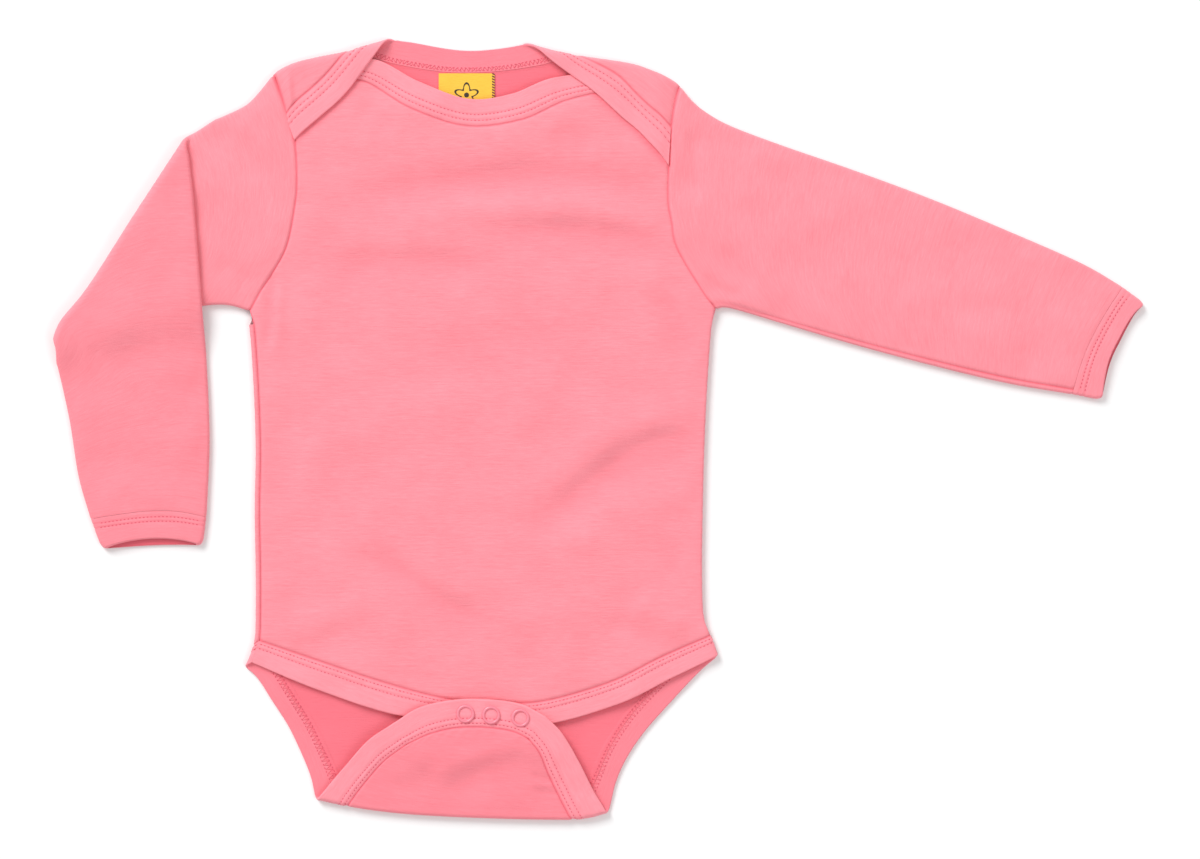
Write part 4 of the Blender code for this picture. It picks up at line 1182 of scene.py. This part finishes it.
def add_sleeve(
    side_name, armhole, top, bottom, cuff_seam, cuff_edge, place, opening, fold=None, underarm=0.0
):
    """A sleeve and its cuff. Each row crosses the sleeve from its top edge to its underarm edge.

    opening is how far the layer of the cuff that shows is drawn back from the one beneath it.
    """
    shoulder = armhole[::-1]
    cuff_seam = np.array(cuff_seam)
    top_line = curve([shoulder[0], *top, cuff_seam[0]])
    bottom_line = curve([shoulder[-1], *bottom, cuff_seam[-1]])
    seam = curve(cuff_seam)
    u = np.linspace(0, 1, 60)

    def grid(v):
        ends = (at_shares(shoulder, u), at_shares(seam, u))
        return patch(*ends, at_shares(top_line, v), at_shares(bottom_line, v), u, v)

    length = (sizes([top_line])[0] + sizes([bottom_line])[0]) / 2
    fine = []
    if fold:
        coarse = np.linspace(0, 1, 401)
        fine = bend_stretches(length, coarse, grid(coarse), (fold,))
    v = marks_along([length], SLEEVE_STEP, ends=(0.35, 0.7, 1.2, 1.8, 2.6), fine=fine)[0]
    v = np.concatenate([[SEAM_GAP / length], v[1:-1], [1 - SEAM_GAP / length]])
    rows = grid(v)
    distances = grid_distances(rows)
    start, end = distances[0].mean(axis=1), distances[1].mean(axis=1)
    depth = groove(start) + CUFF_GROOVE * groove(end)
    ahead = rows[1] - rows[0]
    allowance = rows[0] - SLEEVE_ALLOWANCE * ahead / np.linalg.norm(ahead, axis=1)[:, None]
    rows = np.vstack([allowance[None], rows])
    start = np.concatenate([[0.0], start])
    depth = np.concatenate([[SLEEVE_ALLOWANCE_DEPTH], depth])
    sleeve = add_tube(
        "sleeve_" + side_name + "_piece",
        rows,
        depth,
        # painted shade in the seams at the sleeve's two ends
        seam_painted_shade(depth),
        place,
        MATERIALS["jersey"],
        underarm,
        start,
        upper=-1 if fold else 1,
    )

    edge = curve(cuff_edge)
    seam_points, edge_points = at_shares(seam, u), at_shares(edge, u)
    aside = edge_points - seam_points
    seam_points = seam_points + aside * SEAM_GAP / np.linalg.norm(aside, axis=1)[:, None]
    width = np.linalg.norm(aside, axis=1).mean()
    shares = band_rows(width, CUFF_ROWS)
    cuff_rows = (1 - shares[:, None, None]) * seam_points + shares[:, None, None] * edge_points
    corner = np.clip((shares - 0.72) / 0.28, 0, 1)
    trims = CORNER_ROUND * (1 - np.sqrt(1 - corner**2))
    cuff_rows = np.array(
        [
            along(row, np.linspace(trim, lengths(row)[-1] - trim, len(u)))
            for row, trim in zip(cuff_rows, trims)
        ]
    )
    across = shares * width
    depth = CUFF_GROOVE * groove(across) + 0.2 * row_share(across, CUFF_ROWS)
    # painted shade along the cuff's rows of stitches
    painted_shade = ROW_PAINTED_SHADE * row_share(across, CUFF_ROWS)
    lip = np.clip(WALL / 2 - (width - across), 0, WALL / 2)
    depth += WALL / 2 - np.sqrt((WALL / 2) ** 2 - lip**2)
    ahead = aside.mean(axis=0) / np.linalg.norm(aside.mean(axis=0))
    cuff = add_tube(
        "cuff_" + side_name + "_piece",
        cuff_rows,
        depth,
        painted_shade,
        place,
        MATERIALS["jersey"],
        pull=-opening * (shares**2)[:, None] * ahead,
        upper=-1 if fold else 1,
    )

    run_shares = np.linspace(0.045, 0.955, 60)
    level = 0.16

    def runs(pulled):
        """The two rows of stitches, drawn back with the layer that they are on if it is pulled."""
        found = []
        for row in CUFF_ROWS:
            line = cuff_rows[np.argmin(abs(across - row))]
            back = opening * pulled * (row / width) ** 2 * np.sin(np.pi * run_shares) ** 0.6
            found.append(at_shares(line, run_shares) - back[:, None] * ahead)
        return found

    def swells(flat, heights):
        return place(flat, heights, cuff_edge_distance(flat, runs(0)))

    upper_runs = [(run, 2 * SIDE_RADIUS - level) for run in runs(0 if fold else 1)]
    lower_runs = [(run, level) for run in runs(1 if fold else 0)]
    stitched = [
        threads(f"cuff_{side_name}_upper_stitches", upper_runs, swells, 1),
        threads(f"cuff_{side_name}_lower_stitches", lower_runs, swells, -1),
    ]
    return sleeve, cuff, stitched


def cuff_edge_distance(flat, runs):
    """How far stitches round a cuff are from its two side edges."""
    ends = np.array([run[k] for run in runs for k in (0, -1)])
    gaps = np.linalg.norm(flat[:, None] - ends[None], axis=2)
    return gaps.min(axis=1) + 2.5


class Value:
    """A shader socket. Arithmetic on it adds Math nodes."""

    def __init__(self, finish, socket):
        self.finish = finish
        self.socket = socket

    def math(self, operation, first, second=0.0):
        return self.finish.node("ShaderNodeMath", {0: first, 1: second}, operation=operation)

    def __add__(self, other):
        return self.math("ADD", self, other)

    def __radd__(self, other):
        return self.math("ADD", other, self)

    def __sub__(self, other):
        return self.math("SUBTRACT", self, other)

    def __rsub__(self, other):
        return self.math("SUBTRACT", other, self)

    def __mul__(self, other):
        return self.math("MULTIPLY", self, other)

    def __rmul__(self, other):
        return self.math("MULTIPLY", other, self)

    def __truediv__(self, other):
        return self.math("DIVIDE", self, other)

    def __gt__(self, other):
        return self.math("GREATER_THAN", self, other)

    def __lt__(self, other):
        return self.math("LESS_THAN", self, other)

    def sine(self):
        return self.math("SINE", self)

    def size(self):
        return self.math("ABSOLUTE", self)


class Finish:
    """A material being made."""

    def __init__(self, name, roughness, **plain):
        self.material = bpy.data.materials.new(name)
        self.material.use_nodes = True
        self.nodes = self.material.node_tree.nodes
        self.shader = self.nodes["Principled BSDF"]
        self.shader.inputs["Metallic"].default_value = 0.0
        self.feed(self.shader.inputs["Roughness"], roughness)
        for name, value in plain.items():
            self.shader.inputs[name.replace("_", " ")].default_value = value

    def feed(self, socket, value):
        if isinstance(value, Value):
            self.material.node_tree.links.new(value.socket, socket)
        else:
            socket.default_value = value

    def node(self, kind, inputs, output=0, **settings):
        node = self.nodes.new(kind)
        for name, value in settings.items():
            setattr(node, name, value)
        for name, value in inputs.items():
            self.feed(node.inputs[name], value)
        return Value(self, node.outputs[output])

    def cut_place(self):
        """Where a point is on the flat cut piece, in metres."""
        return self.node("ShaderNodeTexCoord", {}, output="UV")

    def noise(self, across, along_wale, detail=2.0, roughness=0.5):
        """Noise 0 to 1 with features of these sizes in millimetres, across and along the wales."""
        place = self.node(
            "ShaderNodeMapping",
            {"Vector": self.cut_place(), "Scale": (1000 / across, 1000 / along_wale, 1.0)},
        )
        return self.node(
            "ShaderNodeTexNoise",
            {"Vector": place, "Scale": 1.0, "Detail": detail, "Roughness": roughness},
            output="Fac",
        )

    def speckle(self, scale):
        """Noise 0 to 1 over the object itself."""
        inputs = {"Vector": self.node("ShaderNodeTexCoord", {}, output="Object"), "Scale": scale}
        return self.node("ShaderNodeTexNoise", inputs, output="Fac")

    def mix(self, share, first, second):
        """One colour turning into another."""
        first = (*first, 1.0) if isinstance(first, tuple) else first
        return self.node(
            "ShaderNodeMix",
            {"Factor": share, 6: first, 7: (*second, 1.0)},
            output=2,
            data_type="RGBA",
        )

    def relief(self, height, depth, strength=1.0):
        """A bump whose height runs from 0 to 1 over this depth in millimetres."""
        inputs = {"Height": height, "Strength": strength, "Distance": depth * MM}
        normal = self.node("ShaderNodeBump", inputs, output="Normal")
        self.feed(self.shader.inputs["Normal"], normal)

    def colour(self, value):
        self.feed(self.shader.inputs["Base Color"], value)


def jersey(name, light, deep, slub=1.1):
    """Single jersey: uneven yarn in fine streaks, and loops in wales and courses."""
    cloth = Finish(name, 0.82, Sheen_Weight=0.25, Sheen_Roughness=0.5, Specular_IOR_Level=0.25)
    streaks = cloth.noise(16.0, 1.1, detail=3.0, roughness=0.6)
    patches = cloth.noise(30.0, 22.0)
    fuzz = cloth.noise(0.8, 0.8, detail=3.0, roughness=0.7)
    hairs = cloth.noise(5.0, 0.55, detail=2.0, roughness=0.6)
    uneven = (streaks - 0.5) * slub + (hairs - 0.5) * slub + (fuzz - 0.5) * 0.4
    share = uneven + (patches - 0.5) * 0.6 + 0.5
    # painted shade: the knit's colour turns deep pink as far as the painted shade stored on each
    # point says
    painted_shade = cloth.node("ShaderNodeAttribute", {}, output="Fac", attribute_name="PaintedShade")
    cloth.colour(cloth.mix(painted_shade, cloth.mix(share, light, deep), PAINTED_SHADE_PINK))
    split = cloth.node("ShaderNodeSeparateXYZ", {0: cloth.cut_place()})
    x = split
    y = Value(cloth, split.socket.node.outputs["Y"])
    wales = (x * (2000 * math.pi / WALE_PITCH)).sine()
    courses = (y * (2000 * math.pi / COURSE_PITCH) + wales.size() * 1.6).sine()
    loops = wales.size() * 0.5 + courses * 0.25
    height = loops * 0.35 + streaks * 0.9 + hairs * 1.2 + fuzz * 0.8
    cloth.relief(height, 0.12)
    cloth.feed(cloth.shader.inputs["Roughness"], 0.78 + fuzz * 0.14)
    return cloth.material


def satin_label():
    """Yellow woven satin with a plain flower in the middle and a dark overcast edge on one side."""
    cloth = Finish("label_satin_weave", 0.45, Sheen_Weight=0.1)
    split = cloth.node("ShaderNodeSeparateXYZ", {0: cloth.cut_place()})
    x = split * 1000.0 - LABEL_CENTRE_X
    y = Value(cloth, split.socket.node.outputs["Y"]) * 1000.0 - (LABEL_TOP_Y - LABEL_LENGTH / 2)
    radius = (x * x + y * y).math("SQRT", x * x + y * y)
    turn = cloth.node("ShaderNodeMath", {0: y, 1: x}, operation="ARCTAN2")
    petal = (turn * 5.0).sine() * 1.5 + 4.6
    ring = (radius - petal).size() < 0.55
    heart = radius < 1.3
    motif = ring + heart
    overcast = (x > LABEL_WIDTH / 2 - 1.3) * ((y * (2 * math.pi / 1.4) + x * 2.0).sine() > -0.2)
    weave = cloth.noise(4.0, 0.35, detail=1.0)
    yellow = cloth.mix(weave, (0.93, 0.60, 0.055), (0.86, 0.50, 0.04))
    printed = cloth.mix(motif, yellow, (0.035, 0.02, 0.012))
    cloth.colour(cloth.mix(overcast, printed, (0.16, 0.03, 0.03)))
    cloth.relief(weave + overcast * 0.8, 0.15)
    return cloth.material


def enamel():
    """Pink stove enamel on the snap rings, slightly uneven as such paint is."""
    paint = Finish("snap_enamel_gloss", 0.3, Coat_Weight=0.25, Coat_Roughness=0.2)
    speckle = paint.speckle(900.0)
    paint.colour(paint.mix(speckle, (0.92, 0.265, 0.335), (0.85, 0.22, 0.285)))
    paint.feed(paint.shader.inputs["Roughness"], 0.28 + speckle * 0.12)
    paint.relief(speckle, 0.02)
    return paint.material


MATERIALS = {
    "jersey": jersey("jersey_knit", (0.99, 0.318, 0.375), (0.93, 0.238, 0.286)),
    "binding_jersey": jersey("binding_knit", (0.99, 0.335, 0.395), (0.95, 0.265, 0.315)),
    "thread": jersey("polyester_thread", (0.80, 0.13, 0.19), (0.68, 0.09, 0.14), slub=0.2),
    "label": satin_label(),
    "enamel": enamel(),
}


def place_label(flat, height):
    """The label lies on the inside of the back, with its loose end a little up."""
    down = (LABEL_TOP_Y - flat[:, 1]) / LABEL_LENGTH
    back = place_back(flat, np.full(len(flat), WALL))[:, 2]
    curl = 0.5 * down**2 + 0.15 * np.sin((flat[:, 0] - LABEL_CENTRE_X) / 4.5) * down
    return np.column_stack([flat, back + 0.12 + curl + height])


def add_label():
    across = LABEL_CENTRE_X + np.linspace(-LABEL_WIDTH / 2, LABEL_WIDTH / 2, 30)
    down = LABEL_TOP_Y - np.linspace(0, LABEL_LENGTH, 24)
    flat = np.stack(np.meshgrid(across, down), axis=-1)
    level = np.zeros(flat.shape[:2])
    sides = (level, level + LABEL_THICKNESS)
    return wall_of_sheet("neck_label", flat, sides, place_label, MATERIALS["label"])


def add_snap_ring(number, x, y):
    """The open ring of a press snap, which grips the cloth with its rim."""
    top = 2 * CROTCH_RADIUS + float(flap_relief(np.array([x]), np.array([y]))[0])
    bpy.ops.object.select_all(action="DESELECT")
    bpy.ops.mesh.primitive_torus_add(
        major_segments=40,
        minor_segments=14,
        major_radius=(SNAP_RADIUS + SNAP_BORE_RADIUS) / 2 * MM,
        minor_radius=(SNAP_RADIUS - SNAP_BORE_RADIUS) / 2 * MM,
        location=(0, 0, 0),
    )
    ring = bpy.context.active_object
    ring.name = f"snap_ring_{number}"
    bpy.ops.object.mode_set(mode="EDIT")
    bpy.ops.mesh.select_all(action="SELECT")
    bpy.ops.transform.resize(value=(1, 1, 0.95))
    bpy.ops.transform.translate(value=(x * MM, y * MM, (top + 0.12) * MM))
    bpy.ops.object.mode_set(mode="OBJECT")
    bpy.ops.object.shade_smooth()
    ring.data.materials.append(MATERIALS["enamel"])
    return ring


def declare(piece, node):
    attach(piece, "root")
    if node:
        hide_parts(node)


def declare_sheet(piece, with_pieces=()):
    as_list(with_pieces)


def add_garment():
    back = add_back()
    front = add_front()
    bindings, stitched = add_bindings()
    left = add_sleeve(
        "left",
        CUT["left_armhole"],
        LEFT_SLEEVE_TOP,
        LEFT_SLEEVE_BOTTOM,
        LEFT_CUFF_SEAM,
        LEFT_CUFF_EDGE,
        place_left_sleeve,
        opening=1.6,
        underarm=2.6,
    )
    top = [(*RIGHT_ARMHOLE[-1], 0), *RIGHT_SLEEVE_TOP, RIGHT_CUFF_SEAM[0]]
    bottom = [(*RIGHT_ARMHOLE[0], 0), *RIGHT_SLEEVE_BOTTOM, RIGHT_CUFF_SEAM[-1]]
    right = add_sleeve(
        "right",
        CUT["right_armhole"],
        SLEEVE_FOLD.lay_curve_flat(top)[1:-1],
        SLEEVE_FOLD.lay_curve_flat(bottom)[1:-1],
        SLEEVE_FOLD.lay_flat(RIGHT_CUFF_SEAM),
        SLEEVE_FOLD.lay_flat(RIGHT_CUFF_EDGE),
        place_right_sleeve,
        opening=4.0,
        fold=SLEEVE_FOLD,
    )
    label = add_label()
    declare(back, "back")
    declare(front, "front")
    declare(label, "label")
    for number, (x, y) in enumerate(SNAP_PLACES, 1):
        ring = add_snap_ring(number, x, y)
        declare(ring, f"snap_cap_{number}")
        stitched["leg_binding_back"].append(ring)
        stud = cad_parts[f"snap_stud_{number}"]
        for slot in stud.material_slots:
            slot.material = MATERIALS["enamel"]
        stitched["hem_binding_front"].append(stud)
    for node, piece in bindings.items():
        declare(piece, node)
        for part in stitched[node]:
            if "threads" in part.name or "stitches" in part.name:
                declare(part, None)
        declare_sheet(piece, stitched[node])
    for name, (sleeve, cuff, threads_of_cuff) in (("left", left), ("right", right)):
        declare(sleeve, "sleeve_" + name)
        declare(cuff, "cuff_" + name)
        for part in threads_of_cuff:
            declare(part, None)
        declare_sheet(sleeve)
        declare_sheet(cuff, threads_of_cuff)
    for piece in (back, front, label):
        declare_sheet(piece)


def add_area_light(name, place, size, energy):
    """A round soft light, turned towards the origin."""
    data = bpy.data.lights.new(name, "AREA")
    data.shape = "DISK"
    data.size = size
    data.energy = energy
    lamp = bpy.data.objects.new(name, data)
    bpy.context.scene.collection.objects.link(lamp)
    lamp.location = place
    ahead = -np.array(place, float)
    lamp.rotation_mode = "XYZ"
    pitch = math.atan2(math.hypot(ahead[0], ahead[1]), -ahead[2])
    lamp.rotation_euler = (pitch, 0, math.atan2(ahead[1], ahead[0]) - math.pi / 2)


def add_studio():
    """A pale floor, soft light from the upper left, and a camera straight above."""
    bpy.ops.object.select_all(action="DESELECT")
    bpy.ops.mesh.primitive_plane_add(size=FLOOR_SIZE, location=(0, 0, FLOOR_HEIGHT))
    floor = bpy.context.active_object
    floor.name = "floor"
    paper = Finish("white_paper", 0.9, Specular_IOR_Level=0.1)
    grain = paper.speckle(60.0)
    paper.colour(paper.mix(grain, (0.93, 0.93, 0.93), (0.90, 0.90, 0.90)))
    floor.data.materials.append(paper.material)

    world = bpy.data.worlds.new("studio")
    bpy.context.scene.world = world
    world.use_nodes = True
    world.node_tree.nodes["Background"].inputs["Color"].default_value = (1, 1, 1, 1)
    world.node_tree.nodes["Background"].inputs["Strength"].default_value = SKY
    add_area_light("key", (-3.0, 3.9, 3.3), 3.0, 285.0)
    add_area_light("fill", (2.6, -1.4, 3.2), 2.4, 40.0)

    data = bpy.data.cameras.new("camera")
    data.lens = LENS
    data.sensor_width = SENSOR
    camera = bpy.data.objects.new("camera", data)
    camera.location = (0, 0, VIEW_WIDTH * LENS / SENSOR)
    bpy.context.scene.collection.objects.link(camera)
    bpy.context.scene.camera = camera
    bpy.context.scene.view_settings.view_transform = "Standard"


add_studio()
add_garment()
